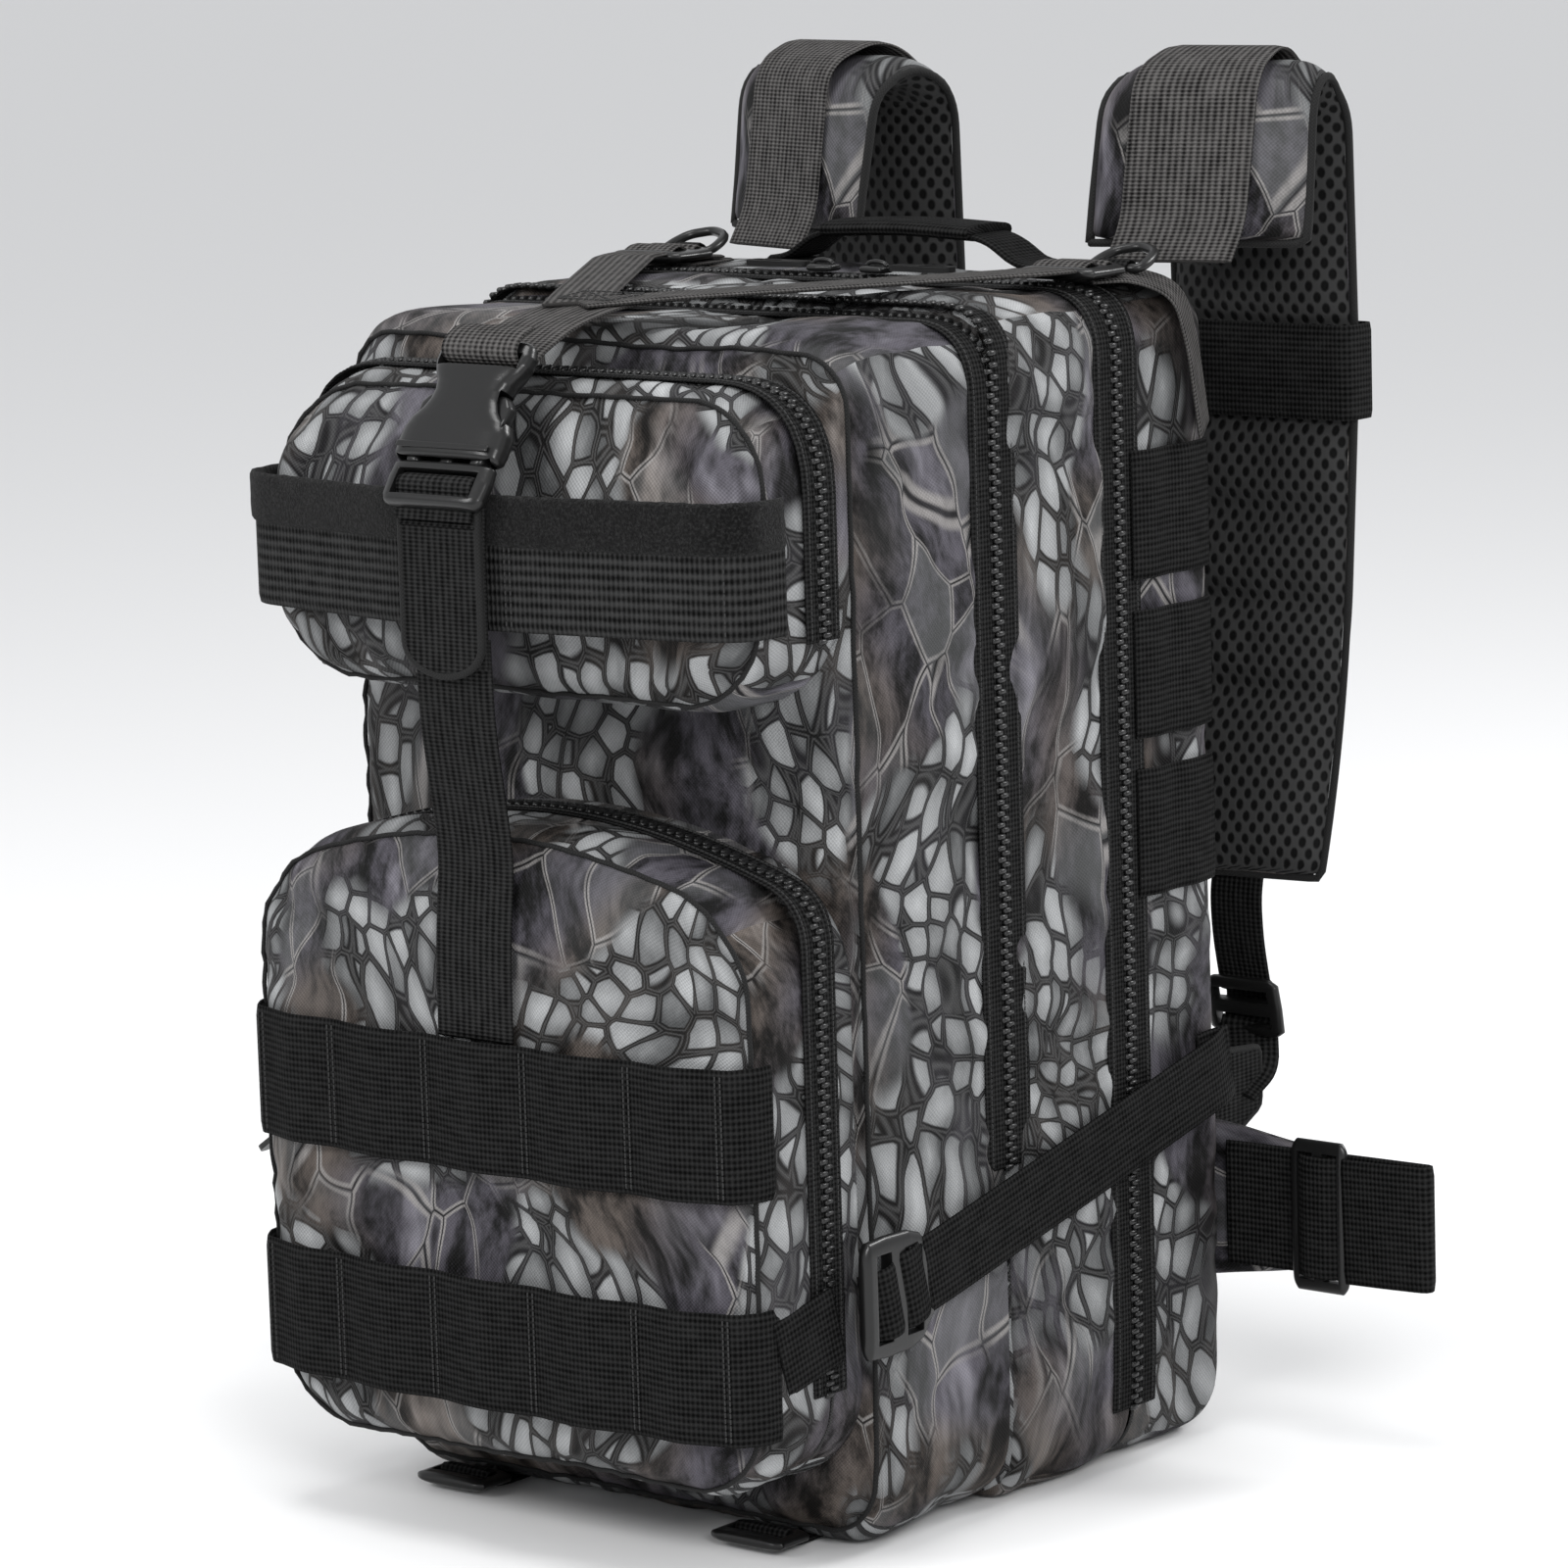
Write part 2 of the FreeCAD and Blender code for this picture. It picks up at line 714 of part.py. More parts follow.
ring_normal = Vector(0, -math.sin(RING_TILT), math.cos(RING_TILT))
ring_at = (RING_X, RING_Y, top + RING_LIFT)
ring = plate("ring", d_shape(14, 0, 8), [d_shape(9.8, 4.2, 8)], "ring_wire", X_AXIS, ring_normal, ring_at)
keep(ring, "d_ring_right")
keep(mirrored(ring, "ring_mirror"), "d_ring_left")

# ---------------------------------------------------------------- shoulder straps

shoulder_x = size("shoulder_mid")


def harness_ribbon(name, points, radius, thick, wide):
    return ribbon(name, [(shoulder_x, y, z) for y, z in points], radius, thick, wide, X_AXIS)


def harness_pair(right, label):
    keep(right, f"{label}_right")
    keep(mirrored(right, f"{label}_mirror"), f"{label}_left")


PAD_ROUTE = [(126, 482), (134, 536), (160, 546), (185, 530), (188, 420), (180, 320), (160, 214)]
harness_pair(harness_ribbon("pad_strip", PAD_ROUTE, 12, "pad_thick", "pad_wide"), "shoulder_pad")
OVER_ROUTE = [(107, 466), (123.6, 482), (131.8, 538.6), (160, 549), (187.2, 533), (189, 500)]
over_strip = harness_ribbon("over_strip", OVER_ROUTE, 12, "webbing_thick", "wide_webbing")
harness_pair(over_strip, "shoulder_webbing")
LOWER_ROUTE = [(152, 212), (152, 196), (156, 178)]
lower_strip = harness_ribbon("lower_strip", LOWER_ROUTE, 30, "webbing_thick", "narrow_webbing")
harness_pair(lower_strip, "lower_webbing")
ADJUSTER_TILT = Vector(0, 0.21, -0.978)
adjuster = frame_lock(
    "adjuster",
    34,
    26,
    [(-6, 5), (6, 5)],
    ADJUSTER_TILT,
    Vector(0, 0.978, 0.21),
    (shoulder_x, 158, 160),
)
keep(adjuster, "shoulder_adjuster_right")
keep(mirrored(adjuster, "adjuster_mirror"), "shoulder_adjuster_left")
TAB_OUTLINE = [(104, 118), (104, 146), (150, 140), (150, 128)]
corner_tab = plate(
    "corner_tab",
    [(y - 104, z - 132) for y, z in TAB_OUTLINE],
    [],
    "webbing_thick",
    Y_AXIS,
    X_AXIS,
    (shoulder_x + 12, 104, 132),
)
keep(both_sides("corner_tab_set", [corner_tab]), "lower_strap_tabs")

# ---------------------------------------------------------------- waist belt

belt_z = size("belt_mid") - 3
BELT_ROOT = 131
WING_HIGH = 56
wing_corner = (str(BELT_ROOT), "108", str(belt_z - WING_HIGH / 2))
wing_block = box("wing_block", ("30", "7", str(WING_HIGH)), wing_corner)
OUTER_EDGE_X = 150


def wing_radius(edge):
    """Rounds the corners of the belt wing's outer end."""
    return 12 if runs_along(edge, Y_AXIS) and edge.BoundBox.XMin > OUTER_EDGE_X else 0


wing = rounded("wing", wing_block, wing_radius)
BELT_END = 224
BELT_FACE = 107.6
BELT_FOLD = 99
belt_route = [
    (138, BELT_FACE, belt_z),
    (BELT_END, BELT_FACE, belt_z),
    (BELT_END, BELT_FOLD, belt_z),
    (188, BELT_FOLD, belt_z),
]
belt_right = ribbon("belt_strip", belt_route, 4, "webbing_thick", "wide_webbing", Z_AXIS)
glide = frame_lock("glide", 62, 26, [(-6, 6), (6, 6)], Z_AXIS, Vector(0, -1, 0), (172, 102.4, belt_z))
for right_piece, label in ((wing, "belt_wing"), (belt_right, "belt_webbing"), (glide, "belt_glide")):
    harness_pair(right_piece, label)

# ---------------------------------------------------------------- zipper sliders and pulls

SLIDER_LONG = 12
PULL_LONG = 30
PULL_WIDE = 8
PULL_THICK = 2.2
PULL_HINGE = 8


def slider(name, along, out, centre):
    """A zip slider: a flat moulded block over the coil."""
    return plate(name, rounded_rectangle(SLIDER_LONG, 10, 3), [], "lock_thick - 2", along, out, centre)


def pull(name, along, out, centre, long=PULL_LONG):
    """A slotted pull tab, which starts at its hinge and runs the given way."""
    middle = Vector(*centre) + Vector(along) * (long / 2)
    slot = rounded_rectangle(long * 0.45, PULL_WIDE - 4.4, 1.6, (long * 0.18, 0))
    outline = rounded_rectangle(long, PULL_WIDE, 3)
    return plate(name, outline, [slot], f"{PULL_THICK}", along, out, tuple(middle))


TOP_SLIDER_X = 13
slider_z = top + size("chain_thick") + 0.4 + 1.5
main_y = size("main_split")
main_slider = slider("main_slider", X_AXIS, Z_AXIS, (TOP_SLIDER_X, main_y, slider_z))
harness_pair(main_slider, "main_slider")
main_pull = pull("main_pull", X_AXIS, Z_AXIS, (TOP_SLIDER_X + PULL_HINGE, main_y, slider_z + 1))
harness_pair(main_pull, "main_pull")

LEFT = Vector(-1, 0, 0)
DOWNWARD = Vector(0, 0, -1)
side_x = -size("half_width") - size("chain_thick") - 1.9
SECOND_SLIDER_Z = 420
second_slider = slider("second_slider_block", DOWNWARD, LEFT, (side_x, second_y, SECOND_SLIDER_Z))
keep(second_slider, "second_slider")
second_hinge = (side_x - 1, second_y, SECOND_SLIDER_Z - PULL_HINGE)
keep(pull("second_pull_tab", DOWNWARD, LEFT, second_hinge), "second_pull")

TOP_ZIP_Y = -136
TOP_ZIP_Z = 362
top_side_x = -size("top_pocket_half") - 1.9
top_slider = slider("top_slider_block", DOWNWARD, LEFT, (top_side_x, TOP_ZIP_Y, TOP_ZIP_Z))
keep(top_slider, "top_slider")
top_hinge = (top_side_x - 1, TOP_ZIP_Y, TOP_ZIP_Z - PULL_HINGE)
keep(pull("top_pull_tab", DOWNWARD, LEFT, top_hinge), "top_pull")

LOWER_ZIP_Y = -146
LOWER_ZIP_Z = 156
lower_side_x = -lower_half - 1.9
lower_slider = slider("lower_slider_block", DOWNWARD, LEFT, (lower_side_x, LOWER_ZIP_Y, LOWER_ZIP_Z))
keep(lower_slider, "lower_slider")
DROOP = math.radians(35)
droop_along = Vector(-math.cos(DROOP), 0, -math.sin(DROOP))
droop_out = Vector(-math.sin(DROOP), 0, math.cos(DROOP))
lower_hinge = (lower_side_x - 3.4, LOWER_ZIP_Y, LOWER_ZIP_Z - 3)
lower_pull = pull("lower_pull_tab", droop_along, droop_out, lower_hinge, PULL_LONG + 12)
keep(lower_pull, "lower_pull")

# ---------------------------------------------------------------- checks and export

doc.recompute()
for obj in doc.Objects:
    if any(state in ("Invalid", "Error") for state in obj.State):
        raise RuntimeError(f"{obj.Name} failed: {obj.State}")
os.makedirs("parts", exist_ok=True)
for node in nodes:
    shape = node.Shape
    if shape.isNull() or not shape.isValid() or not shape.Solids:
        raise RuntimeError(f"{node.Label} has no valid solid")
for node in nodes:
    node.Shape.exportStep(f"parts/{node.Label}.step")
print(f"{len(nodes)} nodes written")
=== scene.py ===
"""The looks of the tackle backpack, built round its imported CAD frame. Metres, in the row frame."""

import math

import bmesh
import bpy
import numpy as np
from mathutils import Matrix, Vector, noise


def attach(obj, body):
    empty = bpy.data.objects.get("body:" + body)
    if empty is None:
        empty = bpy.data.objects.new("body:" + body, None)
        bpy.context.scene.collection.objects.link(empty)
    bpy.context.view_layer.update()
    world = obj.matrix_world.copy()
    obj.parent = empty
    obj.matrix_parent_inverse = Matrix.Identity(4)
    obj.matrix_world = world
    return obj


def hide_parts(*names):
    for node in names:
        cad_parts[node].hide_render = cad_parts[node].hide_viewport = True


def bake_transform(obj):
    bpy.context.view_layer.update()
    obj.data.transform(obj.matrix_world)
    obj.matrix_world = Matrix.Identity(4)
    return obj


MM = 0.001
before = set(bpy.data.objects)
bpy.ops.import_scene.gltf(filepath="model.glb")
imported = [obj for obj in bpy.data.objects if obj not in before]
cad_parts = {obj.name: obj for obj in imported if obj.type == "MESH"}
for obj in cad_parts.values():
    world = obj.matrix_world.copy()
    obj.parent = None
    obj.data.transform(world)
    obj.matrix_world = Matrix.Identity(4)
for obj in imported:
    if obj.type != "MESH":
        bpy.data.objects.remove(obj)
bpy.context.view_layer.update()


# ---------------------------------------------------------------- materials

class Shader:
    """Short names for building one procedural material."""

    def __init__(self, name):
        self.material = bpy.data.materials.new(name)
        self.material.use_nodes = True
        self.tree = self.material.node_tree
        self.surface = self.tree.nodes["Principled BSDF"]

    def node(self, kind, inputs=None, **props):
        made = self.tree.nodes.new(kind)
        for key, value in props.items():
            setattr(made, key, value)
        for key, value in (inputs or {}).items():
            self.feed(made.inputs[key], value)
        return made

    def feed(self, socket, value):
        if isinstance(value, bpy.types.NodeSocket):
            self.tree.links.new(value, socket)
        else:
            socket.default_value = value

    def math(self, operation, a, b=0.0, clamp=False):
        made = self.node("ShaderNodeMath", operation=operation, use_clamp=clamp)
        self.feed(made.inputs[0], a)
        self.feed(made.inputs[1], b)
        return made.outputs[0]

    def times(self, a, b):
        return self.math("MULTIPLY", a, b)

    def rest(self, share):
        """What is left of one whole."""
        return self.math("SUBTRACT", 1.0, share)

    def mix(self, share, a, b):
        made = self.node("ShaderNodeMix", data_type="RGBA")
        self.feed(made.inputs[0], share)
        self.feed(made.inputs[6], a)
        self.feed(made.inputs[7], b)
        return made.outputs[2]

    def step(self, value, low, high, bottom=0.0, top=1.0):
        """A smooth step of value between low and high."""
        made = self.node("ShaderNodeMapRange", interpolation_type="SMOOTHSTEP")
        for index, entry in enumerate((value, low, high, bottom, top)):
            self.feed(made.inputs[index], entry)
        return made.outputs[0]

    def noise(self, vector, scale, detail=2.0, roughness=0.5):
        made = self.node("ShaderNodeTexNoise", {"Scale": scale, "Detail": detail, "Roughness": roughness})
        self.feed(made.inputs["Vector"], vector)
        return made.outputs[0]

    def cells(self, vector, scale, feature="DISTANCE_TO_EDGE", randomness=1.0):
        made = self.node("ShaderNodeTexVoronoi", {"Scale": scale, "Randomness": randomness}, feature=feature)
        self.feed(made.inputs["Vector"], vector)
        return made

    def mapped(self, vector, scale=(1, 1, 1), turn=0.0, shift=(0, 0, 0)):
        made = self.node("ShaderNodeMapping")
        self.feed(made.inputs["Vector"], vector)
        made.inputs["Scale"].default_value = scale
        made.inputs["Rotation"].default_value = (0, 0, turn)
        made.inputs["Location"].default_value = shift
        return made.outputs[0]

    def bump(self, height, strength, distance):
        made = self.node("ShaderNodeBump", {"Strength": strength, "Distance": distance})
        self.feed(made.inputs["Height"], height)
        self.feed(self.surface.inputs["Normal"], made.outputs[0])

    def finish(self, roughness, sheen=0.0, specular=0.5, metallic=0.0):
        self.surface.inputs["Roughness"].default_value = roughness
        self.surface.inputs["Sheen Weight"].default_value = sheen
        self.surface.inputs["Specular IOR Level"].default_value = specular
        self.surface.inputs["Metallic"].default_value = metallic
        return self.material


def uv_of(shader):
    return shader.node("ShaderNodeTexCoord").outputs["UV"]


def object_of(shader):
    return shader.node("ShaderNodeTexCoord").outputs["Object"]


def grey(level, warm=0.0):
    """A linear grey, a little warm or cool."""
    return (level * (1 + warm), level, level * (1 - warm * 0.6), 1)


def ribs(shader, uv, across, along):
    """Two sines over the cloth's width and its length, in ribs per metre."""
    parts = shader.node("ShaderNodeSeparateXYZ", {"Vector": uv})
    return [shader.math("SINE", shader.times(parts.outputs[axis], pitch * 2 * math.pi))
            for axis, pitch in enumerate((across, along))]


def threads(shader, uv, across, along):
    """The height of a plain weave: two crossed sines, in threads per metre."""
    return shader.times(*ribs(shader, uv, across, along))


def camo_ground(sh, uv, flow, mottle):
    """Streaked dark grey, warm in some places and cool in others."""
    broad = sh.noise(sh.mapped(flow, (1, 0.35, 1), 0.3, (7, 2, 0)), 26, 4.0, 0.6)
    warm = sh.step(sh.noise(sh.mapped(uv, shift=(9, 5, 0)), 10, 1.0), 0.44, 0.58)
    dark = sh.mix(warm, grey(0.003), grey(0.004, 0.2))
    mid = sh.mix(warm, (0.078, 0.073, 0.087, 1), grey(0.078, 0.2))
    high = sh.mix(warm, (0.27, 0.26, 0.295, 1), grey(0.26, 0.12))
    ground = sh.mix(sh.step(mottle, 0.37, 0.66), dark, mid)
    return sh.mix(sh.step(broad, 0.54, 0.74, 0, 0.85), ground, high)


def camo_scales(sh, flow, mottle, in_patch, ground):
    """Rounded pale scales with dark gaps and thin rims, inside their patches."""
    small = sh.mapped(flow, (1, 0.62, 1), 0.25)
    cell = sh.cells(small, 88, "F1", 0.62)
    tone = sh.node("ShaderNodeSeparateColor", {"Color": cell.outputs["Color"]}).outputs[0]
    level = sh.math("ADD", sh.times(tone, 0.55), sh.times(mottle, 0.9))
    level = sh.math("SUBTRACT", level, sh.times(cell.outputs["Distance"], 0.75), clamp=True)
    pale = sh.mix(level, grey(0.06, -0.03), grey(0.4, -0.02))
    edge = sh.cells(small, 88, randomness=0.62).outputs["Distance"]
    inner = sh.math("SUBTRACT", edge, sh.times(cell.outputs["Distance"], 0.13))
    rim = sh.times(sh.step(inner, -0.09, -0.05), sh.rest(sh.step(inner, -0.05, -0.01)))
    ground = sh.mix(sh.times(in_patch, 0.85), ground, grey(0.004))
    ground = sh.mix(sh.times(sh.times(rim, in_patch), 0.35), ground, grey(0.12))
    return sh.mix(sh.times(sh.step(inner, 0.0, 0.05), in_patch), ground, pale)


def camo_outlines(sh, flow, mottle, here, colour):
    """Large cells with a dark core line between two thin pale ones, some of them lighter."""
    large = sh.mapped(flow, (1, 0.5, 1), -0.35, (0.3, 0.1, 0))
    edge = sh.cells(large, 44, randomness=0.6).outputs["Distance"]
    cell = sh.cells(large, 44, "F1", 0.6)
    core = sh.rest(sh.step(edge, 0.004, 0.03))
    colour = sh.mix(sh.times(sh.times(core, here), 0.85), colour, grey(0.005))
    tone = sh.node("ShaderNodeSeparateColor", {"Color": cell.outputs["Color"]}).outputs[1]
    lift = sh.times(sh.times(sh.step(tone, 0.45, 0.9), here), 0.45)
    colour = sh.mix(lift, colour, grey(0.13, -0.02))
    line = sh.times(sh.step(edge, 0.004, 0.02), sh.rest(sh.step(edge, 0.03, 0.055)))
    faint = sh.times(sh.times(line, here), sh.step(mottle, 0.25, 0.6, 0.25, 0.85))
    return sh.mix(faint, colour, grey(0.24, 0.05))


def camo_material():
    """Printed oxford cloth: a generic print of scales and thin outlines on streaked dark grey."""
    sh = Shader("camo")
    uv = uv_of(sh)
    drift = sh.node("ShaderNodeTexNoise", {"Vector": uv, "Scale": 9.0, "Detail": 1.0}).outputs["Color"]
    moved = sh.node("ShaderNodeVectorMath", {0: drift, 1: (0.07, 0.09, 0), 2: uv}, operation="MULTIPLY_ADD")
    flow = moved.outputs[0]
    mottle = sh.noise(sh.mapped(flow, (1, 0.4, 1), 0.3), 70, 6.0, 0.66)
    in_patch = sh.step(sh.noise(sh.mapped(uv, (1, 0.7, 1), 0.3), 11, 1.0), 0.48, 0.525)
    other = sh.noise(sh.mapped(uv, shift=(3.1, 1.7, 0)), 9.0, 1.5)
    here = sh.times(sh.step(other, 0.44, 0.54), sh.rest(in_patch))
    colour = camo_scales(sh, flow, mottle, in_patch, camo_ground(sh, uv, flow, mottle))
    colour = camo_outlines(sh, flow, mottle, here, colour)
    weave = threads(sh, uv, 620, 620)
    # The weave's raised threads are painted lighter and the dips between them darker: painted light and
    # shade on the weave.
    shade = sh.math("ADD", sh.times(weave, 0.16), 0.9)
    tinted = sh.node("ShaderNodeVectorMath", {0: colour, "Scale": shade}, operation="SCALE")
    sh.feed(sh.surface.inputs["Base Color"], tinted.outputs[0])
    rumple = sh.noise(sh.mapped(uv, (1, 0.7, 1), 0.6), 38, 3.0, 0.55)
    sh.bump(sh.math("ADD", sh.times(weave, 0.12), sh.times(rumple, 2.2)), 0.7, 0.001)
    return sh.finish(0.62, 0.0, 0.12)


def webbing_material(name, level, across, along, warm=0.0):
    """Nylon webbing with ribs; across and along are ribs per metre over its width and its length."""
    sh = Shader(name)
    uv = uv_of(sh)
    rib, tooth = ribs(sh, uv, across, along)
    height = sh.math("ADD", rib, sh.times(tooth, 0.8))
    grain = sh.noise(uv, 1400, 2.0)
    height = sh.math("ADD", height, sh.times(grain, 1.4))
    blotches = sh.noise(sh.mapped(uv, (2.2, 1, 1)), 90, 4.0, 0.7)
    # The rib tops and raised grain are painted lighter and the grooves darker: painted light and shade on
    # the ribs. The blotches make the webbing lighter and darker in broad patches.
    lit = sh.math("ADD", height, sh.times(blotches, 3.6))
    colour = sh.mix(sh.step(lit, 0.2, 4.6), grey(level * 0.1, warm), grey(level * 2.0, warm))
    sh.feed(sh.surface.inputs["Base Color"], colour)
    sh.bump(height, 0.6, 0.0005)
    return sh.finish(0.68, 0.0, 0.03)


def fuzzy_material():
    """The loop side of a hook-and-loop strip."""
    sh = Shader("loop_strip")
    at = object_of(sh)
    grain = sh.noise(at, 900, 4.0, 0.7)
    sh.feed(sh.surface.inputs["Base Color"], sh.mix(sh.step(grain, 0.4, 0.8), grey(0.002), grey(0.022)))
    sh.bump(grain, 0.9, 0.0012)
    return sh.finish(0.95, 0.06, 0.08)


def mesh_material():
    """Black spacer mesh: rows of small holes in a knitted face."""
    sh = Shader("spacer_mesh")
    uv = uv_of(sh)
    turned = sh.mapped(uv, (1, 0.75, 1), math.pi / 4)
    hole = sh.cells(turned, 210, "F1", 0.0).outputs["Distance"]
    face = sh.step(hole, 0.22, 0.42)
    # The holes are painted near black and the knitted face lighter: painted shade in the depth of the holes.
    sh.feed(sh.surface.inputs["Base Color"], sh.mix(face, grey(0.001), grey(0.03)))
    sh.bump(face, 0.8, 0.0012)
    return sh.finish(0.72, 0.02, 0.1)


def plain_cloth(name, level):
    sh = Shader(name)
    weave = threads(sh, uv_of(sh), 700, 700)
    # The raised threads of the weave are painted lighter and the dips between them darker: painted light and
    # shade on the weave.
    colour = sh.mix(sh.step(weave, -1, 1), grey(level * 0.7), grey(level * 1.3))
    sh.feed(sh.surface.inputs["Base Color"], colour)
    sh.bump(weave, 0.4, 0.0002)
    return sh.finish(0.78, 0.02, 0.12)


def plastic_material(name, level, roughness, metallic=0.0):
    sh = Shader(name)
    grain = sh.noise(object_of(sh), 700, 3.0)
    sh.feed(sh.surface.inputs["Base Color"], sh.mix(grain, grey(level * 0.8), grey(level * 1.2)))
    sh.bump(grain, 0.12, 0.0003)
    return sh.finish(roughness, 0.0, 0.36, metallic)


CAMO = camo_material()
BLACK_WEB = webbing_material("black_webbing", 0.009, 420, 520)
STRAP_WEB = webbing_material("strap_webbing", 0.012, 330, 640)
BAND_WEB = webbing_material("band_webbing", 0.017, 260, 480)
GREY_WEB = webbing_material("grey_webbing", 0.046, 360, 620, 0.04)
TAPE = webbing_material("zip_tape", 0.011, 520, 520)
LOOP = fuzzy_material()
MESH = mesh_material()
LINING = plain_cloth("lining", 0.035)
BINDING = plain_cloth("binding", 0.012)
PLASTIC = plastic_material("buckle_plastic", 0.006, 0.3)
COIL = plastic_material("zip_coil", 0.008, 0.33)
METAL = plastic_material("black_enamel", 0.014, 0.3, 0.3)
THREAD = plain_cloth("thread", 0.03)
BOARD = plastic_material("board", 0.1, 0.6)


# ---------------------------------------------------------------- mesh building

def new_piece(name, points, faces, materials, uvs=None, face_slots=None):
    """A smooth mesh object from points in metres; uvs holds one pair per point."""
    mesh = bpy.data.meshes.new(name)
    mesh.from_pydata([tuple(p) for p in points], [], faces)
    for material in materials:
        mesh.materials.append(material)
    if face_slots is not None:
        mesh.polygons.foreach_set("material_index", face_slots)
    mesh.polygons.foreach_set("use_smooth", [True] * len(mesh.polygons))
    if uvs is not None:
        layer = mesh.uv_layers.new(name="UVMap")
        corner_points = np.zeros(len(mesh.loops), int)
        mesh.loops.foreach_get("vertex_index", corner_points)
        layer.data.foreach_set("uv", np.asarray(uvs, float)[corner_points].ravel())
    mesh.validate()
    mesh.update()
    made = bpy.data.objects.new(name, mesh)
    bpy.context.scene.collection.objects.link(made)
    return made


def points_of(obj):
    """The vertices of obj as an array."""
    flat = np.zeros(len(obj.data.vertices) * 3)
    obj.data.vertices.foreach_get("co", flat)
    return flat.reshape(-1, 3)


def move_points(obj, points):
    obj.data.vertices.foreach_set("co", np.asarray(points, float).ravel())
    obj.data.update()


def normals_of(obj):
    flat = np.zeros(len(obj.data.vertices) * 3)
    obj.data.vertex_normals.foreach_get("vector", flat)
    return flat.reshape(-1, 3)


def plate_faces(rows, columns):
    """The faces of a plate: a grid of points, the same grid again behind it, and the edge between them."""
    wide = columns + 1
    size = (rows + 1) * wide
    faces = []
    for r in range(rows):
        for c in range(columns):
            a = r * wide + c
            faces.append((a, a + wide, a + wide + 1, a + 1))
            faces.append((a + size, a + size + 1, a + size + wide + 1, a + size + wide))
    loop = list(range(wide)) + [r * wide + columns for r in range(1, rows + 1)]
    loop += [rows * wide + c for c in reversed(range(columns))]
    loop += [r * wide for r in reversed(range(1, rows))]
    for a, b in zip(loop, loop[1:] + loop[:1]):
        faces.append((a, b, b + size, a + size))
    return faces


def settle(obj):
    """Applies every modifier of obj."""
    graph = bpy.context.evaluated_depsgraph_get()
    mesh = bpy.data.meshes.new_from_object(obj.evaluated_get(graph))
    obj.modifiers.clear()
    obj.data = mesh
    return obj


def smooth_over(obj):
    """Subdivides obj for good."""
    made = obj.modifiers.new("smooth", "SUBSURF")
    made.levels = 1
    made.render_levels = 1
    return settle(obj)


def thicken(obj, thickness):
    """Gives a sheet its lining: a second face that far inside, in another material."""
    made = obj.modifiers.new("wall", "SOLIDIFY")
    made.thickness = thickness
    made.offset = -1
    made.material_offset = 1
    made.material_offset_rim = 1
    return settle(obj)


CLOTH_FRAMES = 16
CLOTH_STIFFNESS = 12.0
SIDEWAYS_CAP = 0.003


def run_cloth(obj, pins, pressure, swell):
    """The points of obj after its frames as inflated cloth. obj itself keeps its points."""
    group = obj.vertex_groups.new(name="held")
    for number, weight in pins.items():
        group.add([int(number)], float(weight), "REPLACE")
    made = obj.modifiers.new("cloth", "CLOTH")
    cloth = made.settings
    cloth.quality = 4
    cloth.mass = 0.2
    cloth.tension_stiffness = CLOTH_STIFFNESS
    cloth.compression_stiffness = CLOTH_STIFFNESS
    cloth.shear_stiffness = CLOTH_STIFFNESS * 0.5
    cloth.bending_stiffness = 0.4
    cloth.vertex_group_mass = "held"
    cloth.use_pressure = pressure > 0
    cloth.uniform_pressure_force = pressure
    cloth.shrink_min = -swell
    cloth.effector_weights.gravity = 0
    made.collision_settings.use_collision = False
    made.point_cache.frame_start = 1
    made.point_cache.frame_end = CLOTH_FRAMES
    for number in range(1, CLOTH_FRAMES + 1):
        bpy.context.scene.frame_set(number)
    shown = obj.evaluated_get(bpy.context.evaluated_depsgraph_get())
    puffed = shown.to_mesh()
    flat = np.zeros(len(puffed.vertices) * 3)
    puffed.vertices.foreach_get("co", flat)
    shown.to_mesh_clear()
    obj.modifiers.clear()
    obj.vertex_groups.clear()
    bpy.context.scene.frame_set(1)
    return flat.reshape(-1, 3)


def inflate(obj, pins, pressure, swell, cap):
    """Puffs a sheet that is held at its pinned points, and keeps the capped result.

    pins maps a point's number to how hard it is held. cap is the furthest way in and out, in metres;
    the way out may differ from point to point."""
    before = points_of(obj)
    outward = normals_of(obj)
    step = run_cloth(obj, pins, pressure, swell) - before
    depth = (step * outward).sum(1)
    sideways = step - depth[:, None] * outward
    reach = np.linalg.norm(sideways, axis=1, keepdims=True)
    sideways *= np.minimum(1, SIDEWAYS_CAP / np.maximum(reach, 1e-9))
    far_in, far_out = cap
    raised = far_out * np.tanh(np.maximum(depth, 0) / far_out)
    sunk = far_in * np.tanh(np.maximum(-depth, 0) / far_in)
    move_points(obj, before + sideways + (raised - sunk)[:, None] * outward)


def ripple(points, size, seed):
    """Smooth noise between -1 and 1 at each point, for creases of that size in metres."""
    at = np.asarray(points) / size + seed
    return np.array([noise.noise(Vector(p)) for p in at])


def finish(obj, body, *nodes, slot=None):
    """The piece rides on its body and stands for its CAD nodes."""
    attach(obj, body)
    if nodes:
        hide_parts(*nodes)
    return obj


